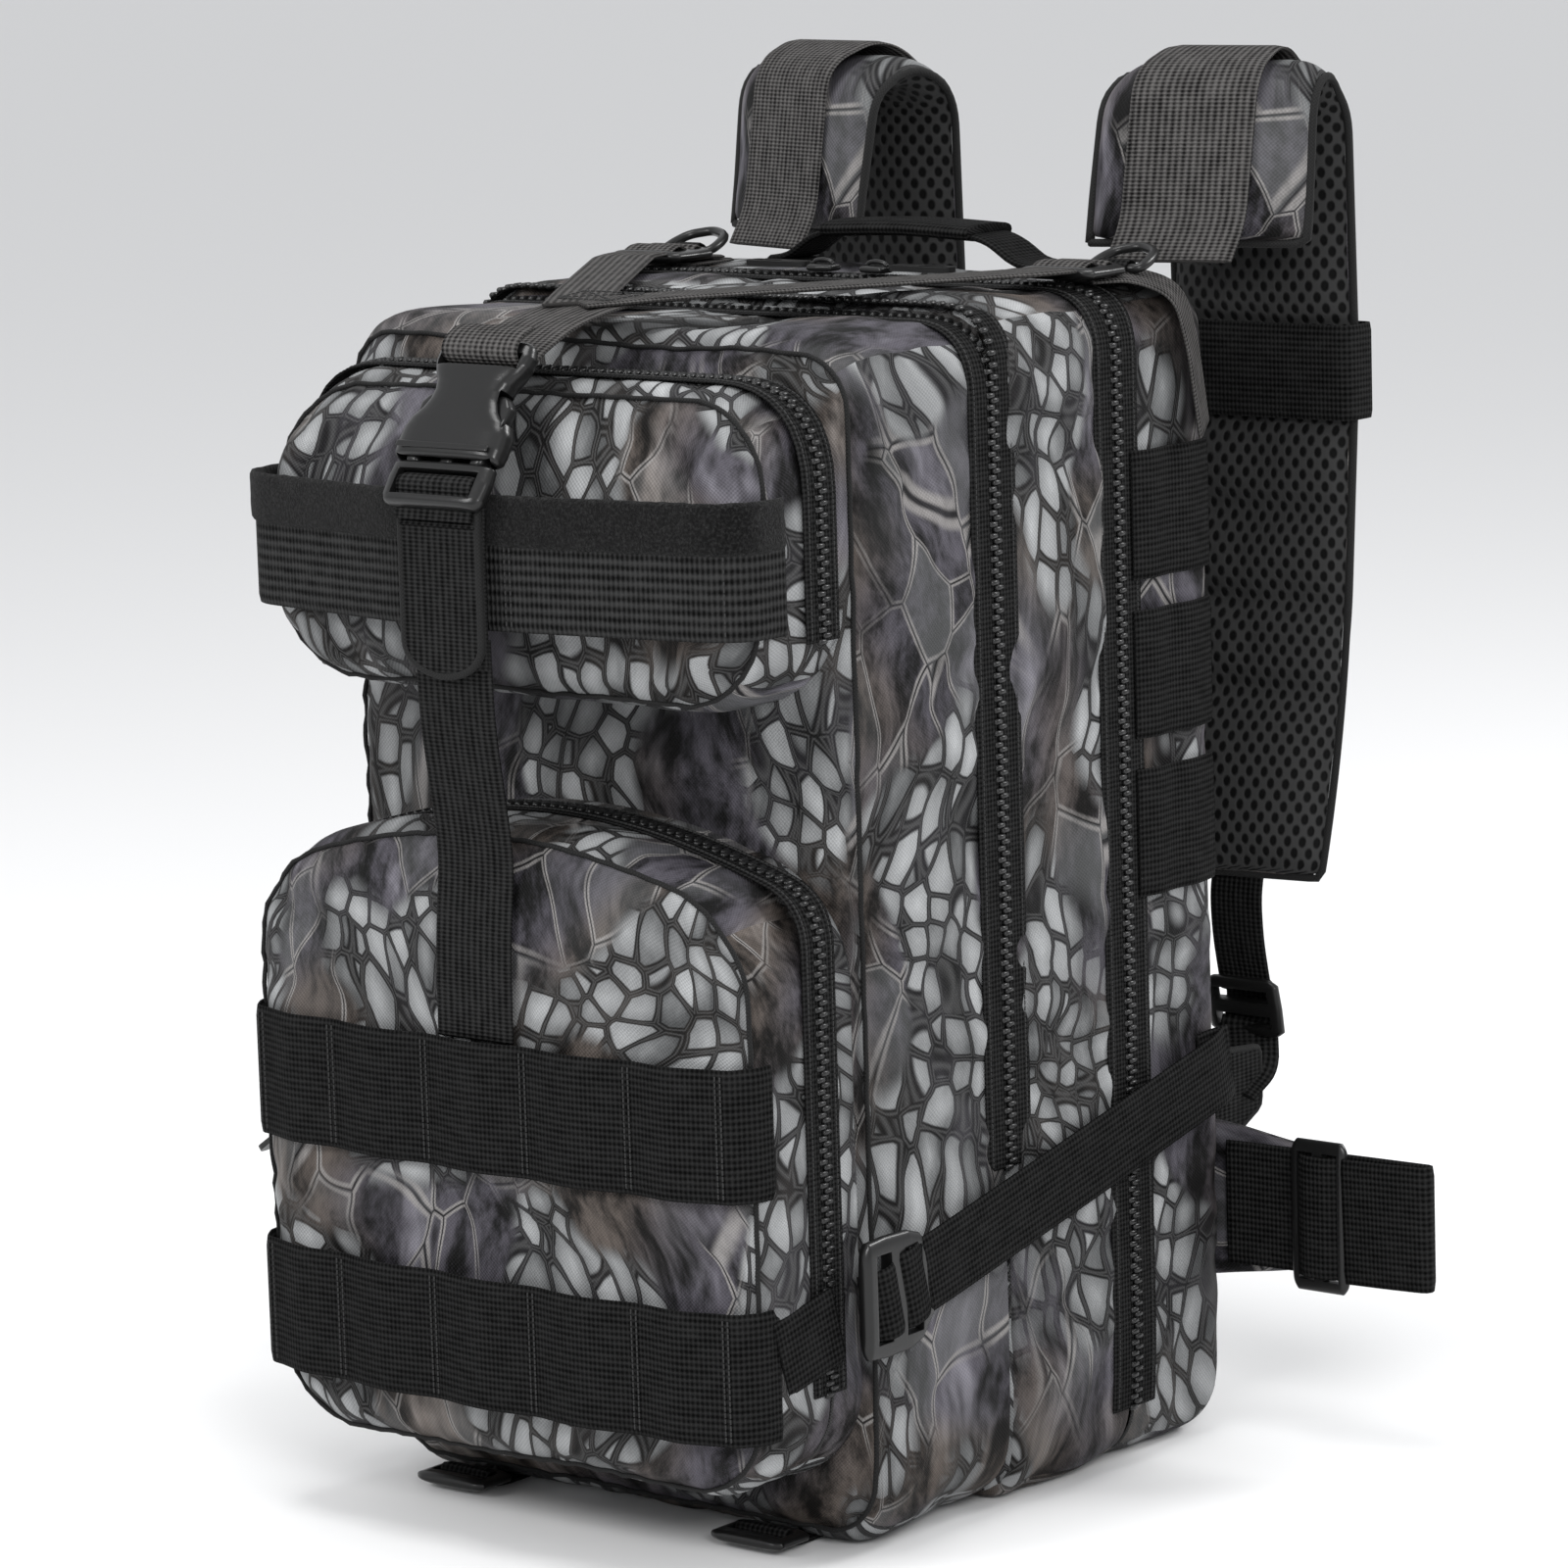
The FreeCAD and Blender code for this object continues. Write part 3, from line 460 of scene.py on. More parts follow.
def join(name, pieces):
    """Several pieces as one."""
    points, faces, uvs, slots, materials = [], [], [], [], []
    for piece in pieces:
        mesh = piece.data
        base = len(points)
        points += [tuple(v.co) for v in mesh.vertices]
        local = []
        for material in mesh.materials:
            if material not in materials:
                materials.append(material)
            local.append(materials.index(material))
        layer = mesh.uv_layers.active
        for polygon in mesh.polygons:
            faces.append([base + v for v in polygon.vertices])
            slots.append(local[polygon.material_index])
            for corner in polygon.loop_indices:
                uvs.append(tuple(layer.data[corner].uv) if layer else (0.0, 0.0))
        bpy.data.objects.remove(piece)
    made = new_piece(name, points, faces, materials, None, slots)
    layer = made.data.uv_layers.new(name="UVMap")
    layer.data.foreach_set("uv", np.asarray(uvs).ravel())
    return made


# ---------------------------------------------------------------- straps and sweeps

SIDES = ((1, "right"), (-1, "left"))


def mirror_x(corners, side):
    return [(x * side, y, z) for x, y, z in corners]


def mirrored(half):
    """A plan that runs from the right side to its mirror image on the left."""
    return half + [(-corner[0],) + tuple(corner[1:]) for corner in reversed(half)]


def rounded_route(corners, radius, step):
    """A route in millimetres through the corners, each one rounded, as evenly spaced points in metres."""
    corners = [Vector(c) for c in corners]
    dense = [corners[0]]
    for before, corner, after in zip(corners, corners[1:], corners[2:]):
        reach = min(radius, (before - corner).length * 0.48, (after - corner).length * 0.48)
        first = corner + (before - corner).normalized() * reach
        last = corner + (after - corner).normalized() * reach
        for k in range(9):
            t = k / 8
            dense.append(first * (1 - t) ** 2 + corner * (2 * t * (1 - t)) + last * t ** 2)
    dense.append(corners[-1])
    lengths = [0.0]
    for a, b in zip(dense, dense[1:]):
        lengths.append(lengths[-1] + (b - a).length)
    count = max(2, int(round(lengths[-1] / step)))
    route = []
    index = 0
    for k in range(count + 1):
        target = lengths[-1] * k / count
        while index < len(lengths) - 2 and lengths[index + 1] < target:
            index += 1
        span = max(lengths[index + 1] - lengths[index], 1e-9)
        route.append(dense[index].lerp(dense[index + 1], (target - lengths[index]) / span) * MM)
    return route


def tangents_of(route):
    ends = [route[0]] + list(route) + [route[-1]]
    return [(b - a).normalized() for a, b in zip(ends, ends[2:])]


def sweep(name, route, across, section, materials, section_slots=None):
    """A closed section swept along a route. section holds (sideways, outward) pairs in metres, in order.

    across is the sideways direction: one vector, or a list with one for each point of the route."""
    tangents = tangents_of(route)
    points, uvs, faces, slots = [], [], [], []
    around = len(section)
    run = 0.0
    girth = [0.0]
    for a, b in zip(section, section[1:]):
        girth.append(girth[-1] + math.hypot(b[0] - a[0], b[1] - a[1]))
    for k, (place, tangent) in enumerate(zip(route, tangents)):
        side = Vector(across[k] if isinstance(across, list) else across)
        side = (side - tangent * side.dot(tangent)).normalized()
        out = side.cross(tangent)
        run += (place - route[k - 1]).length if k else 0
        for index, (sideways, outward) in enumerate(section):
            points.append(place + side * sideways + out * outward)
            uvs.append((girth[index], run))
    for k in range(len(route) - 1):
        for index in range(around):
            a = k * around + index
            b = k * around + (index + 1) % around
            faces.append((a, b, b + around, a + around))
            slots.append(section_slots[index] if section_slots else 0)
    faces.append(tuple(reversed(range(around))))
    last = (len(route) - 1) * around
    faces.append(tuple(last + index for index in range(around)))
    slots += [0, 0]
    return new_piece(name, points, faces, materials, uvs, slots)


SELVAGE = 0.35


def strap_section(width, thick, columns=10):
    """The section of flat webbing, with thinner, rounded selvages."""
    top = []
    for k in range(columns + 1):
        share = k / columns * 2 - 1
        share = math.copysign(abs(share) ** 0.8, share)
        height = thick / 2 * (SELVAGE if k in (0, columns) else 1)
        top.append((share * width / 2, height))
    return top + [(x, -y) for x, y in reversed(top)]


def strap(name, corners, across, width, thick, material, radius, step=4.0):
    """Flat webbing along corners in millimetres. The webbing's middle follows the route."""
    route = rounded_route(corners, radius, step)
    return sweep(name, route, across, strap_section(width * MM, thick * MM), [material])


def tube(name, corners, diameter, material, radius, sides, step, across):
    """A round cord, wire or bound edge along corners in millimetres."""
    route = rounded_route(corners, radius, step)
    section = []
    for k in range(sides):
        angle = 2 * math.pi * k / sides
        section.append((math.cos(angle) * diameter * MM / 2, math.sin(angle) * diameter * MM / 2))
    return sweep(name, route, across, section, [material])


def bars(name, places, material):
    """Many small rounded bars as one piece.

    Each place is (middle, along, out, length, width, height) in metres."""
    ring = [(-1, -1), (1, -1), (1, 0.3), (0.45, 1), (-0.45, 1), (-1, 0.3)]
    points, faces = [], []
    for middle, along, out, length, width, height in places:
        along = Vector(along).normalized()
        out = Vector(out)
        out = (out - along * out.dot(along)).normalized()
        side = along.cross(out)
        base = len(points)
        for end, shrink in ((-0.5, 0.55), (-0.36, 1), (0.36, 1), (0.5, 0.55)):
            for sideways, up in ring:
                offset = side * (sideways * width / 2 * shrink) + out * (up * height / 2 * shrink)
                points.append(Vector(middle) + along * (end * length) + offset)
        for row in range(3):
            for k in range(6):
                a = base + row * 6 + k
                b = base + row * 6 + (k + 1) % 6
                faces.append((a, b, b + 6, a + 6))
        faces.append(tuple(base + k for k in reversed(range(6))))
        faces.append(tuple(base + 18 + k for k in range(6)))
    return new_piece(name, points, faces, [material], [(0, 0)] * len(points))


def stitches(name, runs, body, pitch, length):
    """Rows of stitches. Each run is (start, end, outward) in millimetres."""
    places = []
    for start, end, out in runs:
        start = Vector(start)
        end = Vector(end)
        count = max(1, int((end - start).length / pitch))
        for k in range(count):
            middle = start.lerp(end, (k + 0.5) / count) * MM
            places.append((middle, end - start, out, length * MM, 0.6 * MM, 0.5 * MM))
    made = bars(name, places, THREAD)
    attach(made, body)
    return made


# ---------------------------------------------------------------- soft shells

CLOTH_THICK = 0.0022


def panel_grid(lows, highs, cell, open_axis_end):
    """A box made of square cells with one face missing: points, faces and each face's axis."""
    counts = [max(2, int(round((h - l) / cell))) for l, h in zip(lows, highs)]
    numbers = {}
    points = []

    def number(i, j, k):
        key = (i, j, k)
        if key not in numbers:
            numbers[key] = len(points)
            points.append([lows[a] + (highs[a] - lows[a]) * key[a] / counts[a] for a in range(3)])
        return numbers[key]

    faces = []
    axes = []
    for axis in range(3):
        u, v = [a for a in range(3) if a != axis]
        for end in (0, 1):
            if (axis, end) == open_axis_end:
                continue
            for p in range(counts[u]):
                for q in range(counts[v]):
                    corners = []
                    for du, dv in ((0, 0), (1, 0), (1, 1), (0, 1)):
                        key = [0, 0, 0]
                        key[axis] = counts[axis] * end
                        key[u] = p + du
                        key[v] = q + dv
                        corners.append(number(*key))
                    outward = (end == 1) == (axis != 1)
                    faces.append(corners if outward else corners[::-1])
                    axes.append((axis, end))
    return np.array(points), faces, axes


def outline_of(points, lows, highs, corner):
    """How far each point is inside the rounded outline seen from the front, and the way out."""
    core_low = lows[[0, 2]] + corner
    core_high = highs[[0, 2]] - corner
    plan = points[:, [0, 2]]
    away = plan - np.clip(plan, core_low, core_high)
    in_corner = (np.abs(away) > 1e-6).all(axis=1)
    x, z = plan.T
    gaps = np.stack([x - lows[0], highs[0] - x, z - lows[2], highs[2] - z], 1)
    nearest = gaps.argmin(axis=1)
    ways = np.array([(-1.0, 0), (1, 0), (0, -1), (0, 1)])[nearest]
    inside = gaps.min(axis=1)
    reach = np.linalg.norm(away, axis=1)
    inside = np.where(in_corner, corner - reach, inside)
    ways = np.where(in_corner[:, None], away / np.maximum(reach, 1e-9)[:, None], ways)
    return inside, ways


def rounded_corners(points, lows, highs, corner):
    """Draws the square corners of the front view in to arcs, in place."""
    core = np.clip(points[:, [0, 2]], lows[[0, 2]] + corner, highs[[0, 2]] - corner)
    away = points[:, [0, 2]] - core
    square = np.abs(away).max(axis=1, keepdims=True)
    reach = np.linalg.norm(away, axis=1, keepdims=True)
    points[:, [0, 2]] = core + away * np.where(reach > 1e-6, square / np.maximum(reach, 1e-6), 1)


def rounded_edge(points, lows, highs, corner, edge, to_end, toward):
    """Rounds the edge where the side walls meet the closed face, in place."""
    inside, ways = outline_of(points, lows, highs, corner)
    across = np.clip(edge - inside, 0, edge)
    forward = np.clip(edge - to_end, 0, edge)
    length = np.maximum(np.hypot(across, forward), 1e-6)
    in_bend = (across > 0) & (forward > 0)
    share = np.where(in_bend, np.maximum(across, forward) / length, 1)
    points[:, [0, 2]] += ways * (across * share - across)[:, None]
    points[:, 1] += toward * (forward * share - forward)


def panel_uvs(flat, faces, axes, seed):
    """Each panel's own place on the printed cloth, in metres, for every corner of every face."""
    uvs = []
    for face, (axis, end) in zip(faces, axes):
        shift = axis * 0.37 + end * 0.91 + seed
        u, v = [a for a in range(3) if a != axis]
        for number in face:
            uvs.append((flat[number][u] * MM + shift, flat[number][v] * MM + shift * 0.7))
    return uvs


def soft_tub(name, lows, highs, corner, edge, open_end, cell, shape, seed, end_material):
    """An open-sided soft box in millimetres: rounded edges, panels cut separately from the printed cloth.

    Returns the sheet and its points' roles: distances from the rim, and which are on the sewn edge."""
    points, faces, axes = panel_grid(lows, highs, cell, (1, open_end))
    lows = np.array(lows, float)
    highs = np.array(highs, float)
    flat = points.copy()
    rim_y, closed_y = (highs[1], lows[1]) if open_end == 1 else (lows[1], highs[1])
    to_end = np.abs(flat[:, 1] - closed_y)
    rounded_corners(points, lows, highs, corner)
    rounded_edge(points, lows, highs, corner, edge, to_end, -1 if open_end == 1 else 1)
    points = shape(points)
    materials = [CAMO, LINING] + ([end_material] if end_material else [])
    slots = [2 if end_material and axis == 1 else 0 for axis, _ in axes]
    made = new_piece(name, points * MM, faces, materials, None, slots)
    layer = made.data.uv_layers.new(name="UVMap")
    layer.data.foreach_set("uv", np.asarray(panel_uvs(flat, faces, axes, seed)).ravel())
    on_outline = np.minimum.reduce([
        np.abs(flat[:, 0] - lows[0]), np.abs(flat[:, 0] - highs[0]),
        np.abs(flat[:, 2] - lows[2]), np.abs(flat[:, 2] - highs[2]),
    ]) < 1e-6
    return made, {"to_rim": np.abs(flat[:, 1] - rim_y), "seam": (to_end < 1e-6) & on_outline, "flat": flat}


def crease(obj, roles, depth, size, seed, zip_y):
    """Soft irregular creases, none where the rim is sewn to its zip tape or where a zip crosses."""
    points = points_of(obj)
    out = normals_of(obj)
    wave = ripple(points * np.array([1.0, 1.0, 0.55]), size, seed)
    ridged = 1 - np.abs(ripple(points * np.array([0.8, 1.0, 1.5]), size * 1.7, seed + 4)) * 2.2
    amount = depth * (0.55 * wave + 0.45 * ridged)
    amount *= np.clip((roles["to_rim"] - 8) / 18, 0.05, 1)
    if zip_y is not None:
        amount *= np.clip((np.abs(roles["flat"][:, 1] - zip_y) - 9) / 10, 0, 1)
    move_points(obj, points + out * amount[:, None])


def fold(points, out, folds):
    """Presses valley folds into the cloth, the same on both sides of the bag.

    Each fold is (start, end, depth, half width) in millimetres."""
    places = points / MM
    places[:, 0] = np.abs(places[:, 0])
    for start, end, depth, width in folds:
        start = np.array(start, float)
        run = np.array(end, float) - start
        share = np.clip((places - start) @ run / (run @ run), 0, 1)
        gap = np.linalg.norm(places - start - share[:, None] * run, axis=1)
        press = -np.exp(-((gap / width) ** 2)) + 0.5 * np.exp(-(((gap - 1.9 * width) / width) ** 2))
        points = points + out * (press * depth * np.sin(np.pi * (0.12 + 0.76 * share)) * MM)[:, None]
    return points


def split_at(sheet, roles, line):
    """Cuts a sheet in two along a line of its flat pattern and returns the part nearer the bag."""
    rear = sheet.copy()
    rear.data = sheet.data.copy()
    bpy.context.scene.collection.objects.link(rear)
    pattern = roles["flat"][:, 1]
    for obj, keeps_rear in ((sheet, False), (rear, True)):
        mesh = bmesh.new()
        mesh.from_mesh(obj.data)
        in_rear = [np.mean([pattern[v.index] for v in face.verts]) > line for face in mesh.faces]
        others = [face for face, rear_face in zip(mesh.faces, in_rear) if rear_face != keeps_rear]
        bmesh.ops.delete(mesh, geom=others, context="FACES")
        mesh.to_mesh(obj.data)
        mesh.free()
    return rear


def hinged(obj, *nodes, slot=None):
    """Bakes a piece of the lower pocket into place and hides the CAD nodes it stands for."""
    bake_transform(obj)
    if nodes:
        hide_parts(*nodes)


def seam_piping(name, sheet, roles, body):
    """A thin corded edge along the sewn outline of a section's face."""
    ring = np.flatnonzero(roles["seam"])
    places = (points_of(sheet) + normals_of(sheet) * 0.0006)[ring] / MM
    middle = roles["flat"][ring].mean(axis=0)
    order = np.argsort(np.arctan2(roles["flat"][ring, 2] - middle[2], roles["flat"][ring, 0] - middle[0]))
    loop = [tuple(places[number]) for number in order]
    cord = tube(name, loop + loop[:1], 1.9, BINDING, 2, 6, 4, (0, 1, 0))
    if body == "lower_pocket":
        hinged(cord)
    else:
        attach(cord, body)


def lined(sheet):
    """The cloth with its lining, smoothed."""
    thicken(sheet, CLOTH_THICK)
    return smooth_over(sheet)


def soft_section(name, body, node, lows, highs, open_end, seed, pressure, corner, edge, shape, folds,
                 cell=7.0, cap=0.005, held=None, tape=13, end_material=None, depth=0.0036, zip_y=None,
                 piped=False):
    """One compartment or pocket of the bag: puffed and creased cloth with a lining.

    lows, highs, corner, edge, cell, tape and zip_y are in millimetres; cap and depth are in metres."""
    sheet, roles = soft_tub(name, lows, highs, corner, edge, open_end, cell, shape, seed, end_material)
    crease(sheet, roles, depth, 0.048, seed, zip_y)
    move_points(sheet, fold(points_of(sheet), normals_of(sheet), folds))
    grip = np.clip(1.15 - roles["to_rim"] / max(tape, 1) * 0.35, 0, 1) * (roles["to_rim"] <= tape)
    grip[roles["seam"]] = 0.85
    if held is not None:
        grip = np.maximum(grip, held(roles["flat"]))
    if zip_y is not None:
        grip = np.maximum(grip, 0.97 * (np.abs(roles["flat"][:, 1] - zip_y) < 10))
    pins = {number: grip[number] for number in np.flatnonzero(grip)}
    near_top = points_of(sheet)[:, 2] > highs[2] * MM - 0.02
    limit = np.where(near_top, min(cap, 0.0018), cap)
    inflate(sheet, pins, pressure, swell=0.03, cap=(0.004, limit))
    points = points_of(sheet)
    points[:, 2] = np.maximum(points[:, 2], 0.0008)
    move_points(sheet, points)
    if piped:
        seam_piping(f"{name}_piping", sheet, roles, body)
    if body == "lower_pocket":
        gusset = split_at(sheet, roles, zip_y)
        gusset.name = f"{name}_gusset"
        finish(lined(gusset), "front_flap", slot="camo")
        hinged(lined(sheet), node, slot="camo")
    else:
        finish(lined(sheet), body, node, slot="camo")


def taper(points):
    """The bag's foot is a little narrower than its body."""
    points = points.copy()
    near_foot = np.clip((60 - points[:, 2]) / 60, 0, 1) ** 2
    points[:, 0] *= 1 - 0.03 * near_foot
    return points


# Folds run over the cloth from one place to another: (start, end, depth, half width) in millimetres.
WALL_X = 128
REAR_LOW, REAR_HIGH = (-127, 38.6, 0.6), (127, 103.4, 462.4)
MIDDLE_LOW, MIDDLE_HIGH = (-127, -39.4, 0.6), (127, 37.4, 462.4)
FRONT_LOW, FRONT_HIGH = (-127, -123.4, 3), (127, -40.6, 457.4)
REAR_FOLDS = [((WALL_X, 60, 30), (WALL_X, 92, 70), 1.8, 6), ((WALL_X, 55, 206), (WALL_X, 92, 182), 1.5, 5)]
MIDDLE_FOLDS = [
    ((WALL_X, -25, 60), (WALL_X, 22, 96), 2.0, 6), ((WALL_X, -22, 190), (WALL_X, 20, 168), 1.8, 6),
    ((WALL_X, -20, 300), (WALL_X, 14, 340), 1.5, 6), ((WALL_X, -22, 425), (WALL_X, 12, 392), 1.6, 6),
]
FRONT_FOLDS = [
    ((WALL_X, -62, 78), (WALL_X, -112, 40), 2.6, 6), ((WALL_X, -60, 140), (WALL_X, -112, 176), 2.4, 6),
    ((WALL_X, -60, 232), (WALL_X, -108, 206), 2.2, 6), ((WALL_X, -62, 330), (WALL_X, -110, 300), 2.0, 6),
    ((WALL_X, -64, 420), (WALL_X, -108, 372), 2.2, 7), ((30, -124, 300), (96, -124, 312), 1.8, 5),
]
soft_section(
    "rear_section", "pack", "rear_shell", REAR_LOW, REAR_HIGH, open_end=0, seed=1.3, pressure=0.5,
    corner=22, edge=14, shape=taper, end_material=BINDING, cap=0.0012, depth=0.0013, folds=REAR_FOLDS,
)
soft_section(
    "middle_section", "main_flap", "middle_shell", MIDDLE_LOW, MIDDLE_HIGH, open_end=1, seed=2.6,
    pressure=0.9, corner=22, edge=12, shape=taper, folds=MIDDLE_FOLDS,
)
soft_section(
    "second_section", "front_flap", "front_shell", FRONT_LOW, FRONT_HIGH, open_end=1, seed=4.1, pressure=0.9,
    corner=26, edge=20, shape=taper, folds=FRONT_FOLDS, piped=True,
)


# ---------------------------------------------------------------- pockets

TOP_LOW, TOP_HIGH = (-121, -161, 323), (121, -124.2, 443)
TOP_ZIP_Y = -136
TOP_FOLDS = [((66, -178, 338), (112, -172, 356), 2.0, 5), ((40, -166, 428), (104, -164, 414), 1.6, 5)]


def heavy_foot(points):
    """The top pocket leans out towards its foot and bulges at its sides."""
    points = points.copy()
    share = np.clip((440 - points[:, 2]) / 60, 0, 1) ** 0.8
    forward = np.clip((-145 - points[:, 1]) / 15, 0, 1)
    middle = np.sin(np.pi * np.clip((points[:, 2] - 323) / 120, 0, 1))
    points[:, 1] -= (18 * share + 3 * middle * (1 - (points[:, 0] / 122) ** 2)) * forward
    points[:, 0] *= 1 + 0.035 * middle * forward
    return points


soft_section(
    "top_pocket", "front_flap", "top_pocket_shell", TOP_LOW, TOP_HIGH, open_end=1, seed=5.7, pressure=0.7,
    corner=40, edge=20, shape=heavy_foot, cell=6.0, cap=0.003, tape=3, depth=0.0024, zip_y=TOP_ZIP_Y,
    folds=TOP_FOLDS, piped=True,
)

ARCH_DROP = 26
LOWER_LOW, LOWER_HIGH = (-122, -187, 31), (122, -124.8, 279)
LOWER_ZIP_Y = -146
LOWER_FOLDS = [
    ((40, -193, 216), (112, -189, 246), 2.6, 6), ((58, -193, 205), (116, -188, 212), 2.2, 5),
    ((30, -193, 142), (104, -189, 124), 1.8, 5), ((52, -193, 46), (110, -186, 60), 2.0, 5),
]
TACKS = (-114, -73.8, -24.6, 24.6, 73.8, 114)
ROW_MIDDLES = (175, 84)


def arch_z(x):
    """The height of the lower pocket's arched top at one x."""
    return LOWER_HIGH[2] - ARCH_DROP * (x / 123) ** 2


def crown(x):
    """How far the stuffed pocket's face stands out of its flat pattern."""
    return 8 * (1 - np.minimum(np.abs(x) / 126, 1) ** 3)


def arched(points):
    """Lowers the pocket's top towards its sides and draws its foot in a little."""
    points = points.copy()
    share = np.clip((points[:, 2] - 120) / 159, 0, 1)
    points[:, 2] -= ARCH_DROP * (points[:, 0] / 123) ** 2 * share
    foot = np.clip((75 - points[:, 2]) / 45, 0, 1) ** 2
    forward = np.clip((-156 - points[:, 1]) / 24, 0, 1)
    middle = np.sin(np.pi * np.clip((points[:, 2] - 31) / 248, 0, 1)) ** 0.7
    points[:, 0] *= 1 - 0.035 * foot + 0.03 * middle * forward
    points[:, 1] += foot * 5 * (points[:, 1] < -150) - crown(points[:, 0]) * forward * middle
    return points


def row_tacks(flat):
    """How hard the pocket's face is held under the tacks of the webbing rows."""
    near = np.zeros(len(flat))
    on_face = flat[:, 1] < LOWER_LOW[1] + 1
    for middle in ROW_MIDDLES:
        in_row = on_face & (np.abs(flat[:, 2] - middle) < 27)
        for x in TACKS:
            near = np.maximum(near, in_row * (np.abs(flat[:, 0] - x) < 4) * 0.9)
    return near


soft_section(
    "lower_pocket_cloth", "lower_pocket", "lower_pocket_shell", LOWER_LOW, LOWER_HIGH, open_end=1, seed=7.3,
    pressure=0.8, corner=36, edge=18, shape=arched, cell=6.0, cap=0.0022, held=row_tacks, tape=3,
    depth=0.0024, zip_y=LOWER_ZIP_Y, folds=LOWER_FOLDS, piped=True,
)


# ---------------------------------------------------------------- zippers

def zip_half(name, corners, side, width, body, nodes=(), radius=20.0, after=None):
    """One half of a coil zipper: its tape, teeth and hem. side is 1 for the rear half, -1 for the front."""
    route = rounded_route(corners, radius, 2.2)
    tangents = tangents_of(route)
    across = Vector((0, 1, 0))
    tape_route = [place + across * (side * width * 0.56 * MM) for place in route]
    tape = sweep(f"{name}_tape", tape_route, across, strap_section(width * MM, 1.1 * MM, 6), [TAPE])
    places = []
    for k, (place, tangent) in enumerate(zip(route, tangents)):
        if k % 2 == (side > 0):
            out = across.cross(tangent)
            middle = place + across * (side * 1.3 * MM) + out * (0.7 * MM)
            places.append((middle, across, out, 4.6 * MM, 2.3 * MM, 2.0 * MM))
    teeth = bars(f"{name}_teeth", places, COIL)
    hem_places = []
    for place, tangent in list(zip(route, tangents))[1:-1]:
        out = across.cross(tangent)
        hem_places.append((place + across * (side * (width - 2.0) * MM) + out * (0.75 * MM), tangent, out,
                           1.9 * MM, 0.6 * MM, 0.5 * MM))
    hem = bars(f"{name}_hem", hem_places, THREAD)
    made = join(name, [tape, teeth, hem])
    if after is not None:
        move_points(made, after(points_of(made) / MM) * MM)
    return finish(made, body, *nodes, slot="zipper")


ZIP_X = 127.7
ZIP_EDGE_X = 122.9
MAIN_ZIP = mirrored([(ZIP_X, 38, 24), (ZIP_X, 38, 463)])
SECOND_REAR = mirrored([(ZIP_X, -40, 136), (ZIP_X, -40, 463)])
SECOND_FRONT = mirrored([(ZIP_X, -40, 136), (ZIP_X, -40, 458)])
TOP_ZIP_X = 121.9
TOP_ZIP = [(TOP_ZIP_X, TOP_ZIP_Y, 350), (TOP_ZIP_X, TOP_ZIP_Y, 443.8),
           (-TOP_ZIP_X, TOP_ZIP_Y, 443.8), (-TOP_ZIP_X, TOP_ZIP_Y, 340)]
ARCH_XS = (86, 58, 29, 0, -29, -58, -86)
LOWER_ZIP = (
    [(ZIP_EDGE_X, LOWER_ZIP_Y, 70), (ZIP_EDGE_X, LOWER_ZIP_Y, 256)]
    + [(x, LOWER_ZIP_Y, arch_z(x) + 1.2) for x in ARCH_XS]
    + [(-ZIP_EDGE_X, LOWER_ZIP_Y, 256), (-ZIP_EDGE_X, LOWER_ZIP_Y, 70)]
)
zip_half("main_zipper_rear", MAIN_ZIP, 1, 13, "pack", ["main_zip_rear"], 25, taper)
zip_half("main_zipper_front", MAIN_ZIP, -1, 13, "main_flap", ["main_zip_front"], 25, taper)
zip_half("second_zipper_rear", SECOND_REAR, 1, 13, "main_flap", ["second_zip_rear"], 25)
zip_half("second_zipper_front", SECOND_FRONT, -1, 13, "front_flap", ["second_zip_front"], 27)
for side, word, body in ((1, "inner", "front_flap"), (-1, "outer", "lower_pocket")):
    zip_half(f"top_pocket_zip_{word}", TOP_ZIP, side, 9, "front_flap", radius=39)
    zip_half(f"lower_pocket_zip_{word}", LOWER_ZIP, side, 9, body, radius=36)


# ---------------------------------------------------------------- webbing on the front

FORWARD = (0, -1, 0)
UPWARD = (0, 0, 1)
LEFTWARD = (-1, 0, 0)
ROW_WIDTH = 50
ROW_END = [(123.6, -176), (123.4, -184), (119.5, -189.4)]


def upright(plan, z):
    """A plan seen from above, at one height."""
    return [(x, y, z) for x, y in plan]


def molle_row(name, node, z):
    """A row that stands off between its tacks and is drawn in at each of them."""
    def face(x, stand):
        return (x, -188.0 - stand - float(crown(x)))

    falling = TACKS[::-1]
    plan = list(ROW_END)
    for x, after in zip(falling, falling[1:] + (None,)):
        plan += [face(x + 3, 3.4), face(x - 3, 3.4)]
        if after is not None:
            plan += [face(x - 12, 5.2), face((x + after) / 2, 6.6), face(after + 12, 5.2)]
    plan += [(-x, y) for x, y in reversed(ROW_END)]
    row = strap(name, upright(plan, z), UPWARD, ROW_WIDTH, 1.8, BLACK_WEB, 9, 2.5)
    finish(row, "lower_pocket", node, slot="webbing")
    runs = []
    for x in TACKS:
        y = -192.8 - float(crown(x))
        runs += [((x + shift, y, z - 23), (x + shift, y, z + 23), FORWARD) for shift in (-1.2, 1.2)]
    stitches(f"{name}_tacks", runs, "lower_pocket", 2.2, 1.9)


BAND_PLAN = mirrored([(122.5, -158), (122.5, -176), (112, -185), (70, -192), (24, -199)])
BAND_Z = 373
LOOP_Z = 396


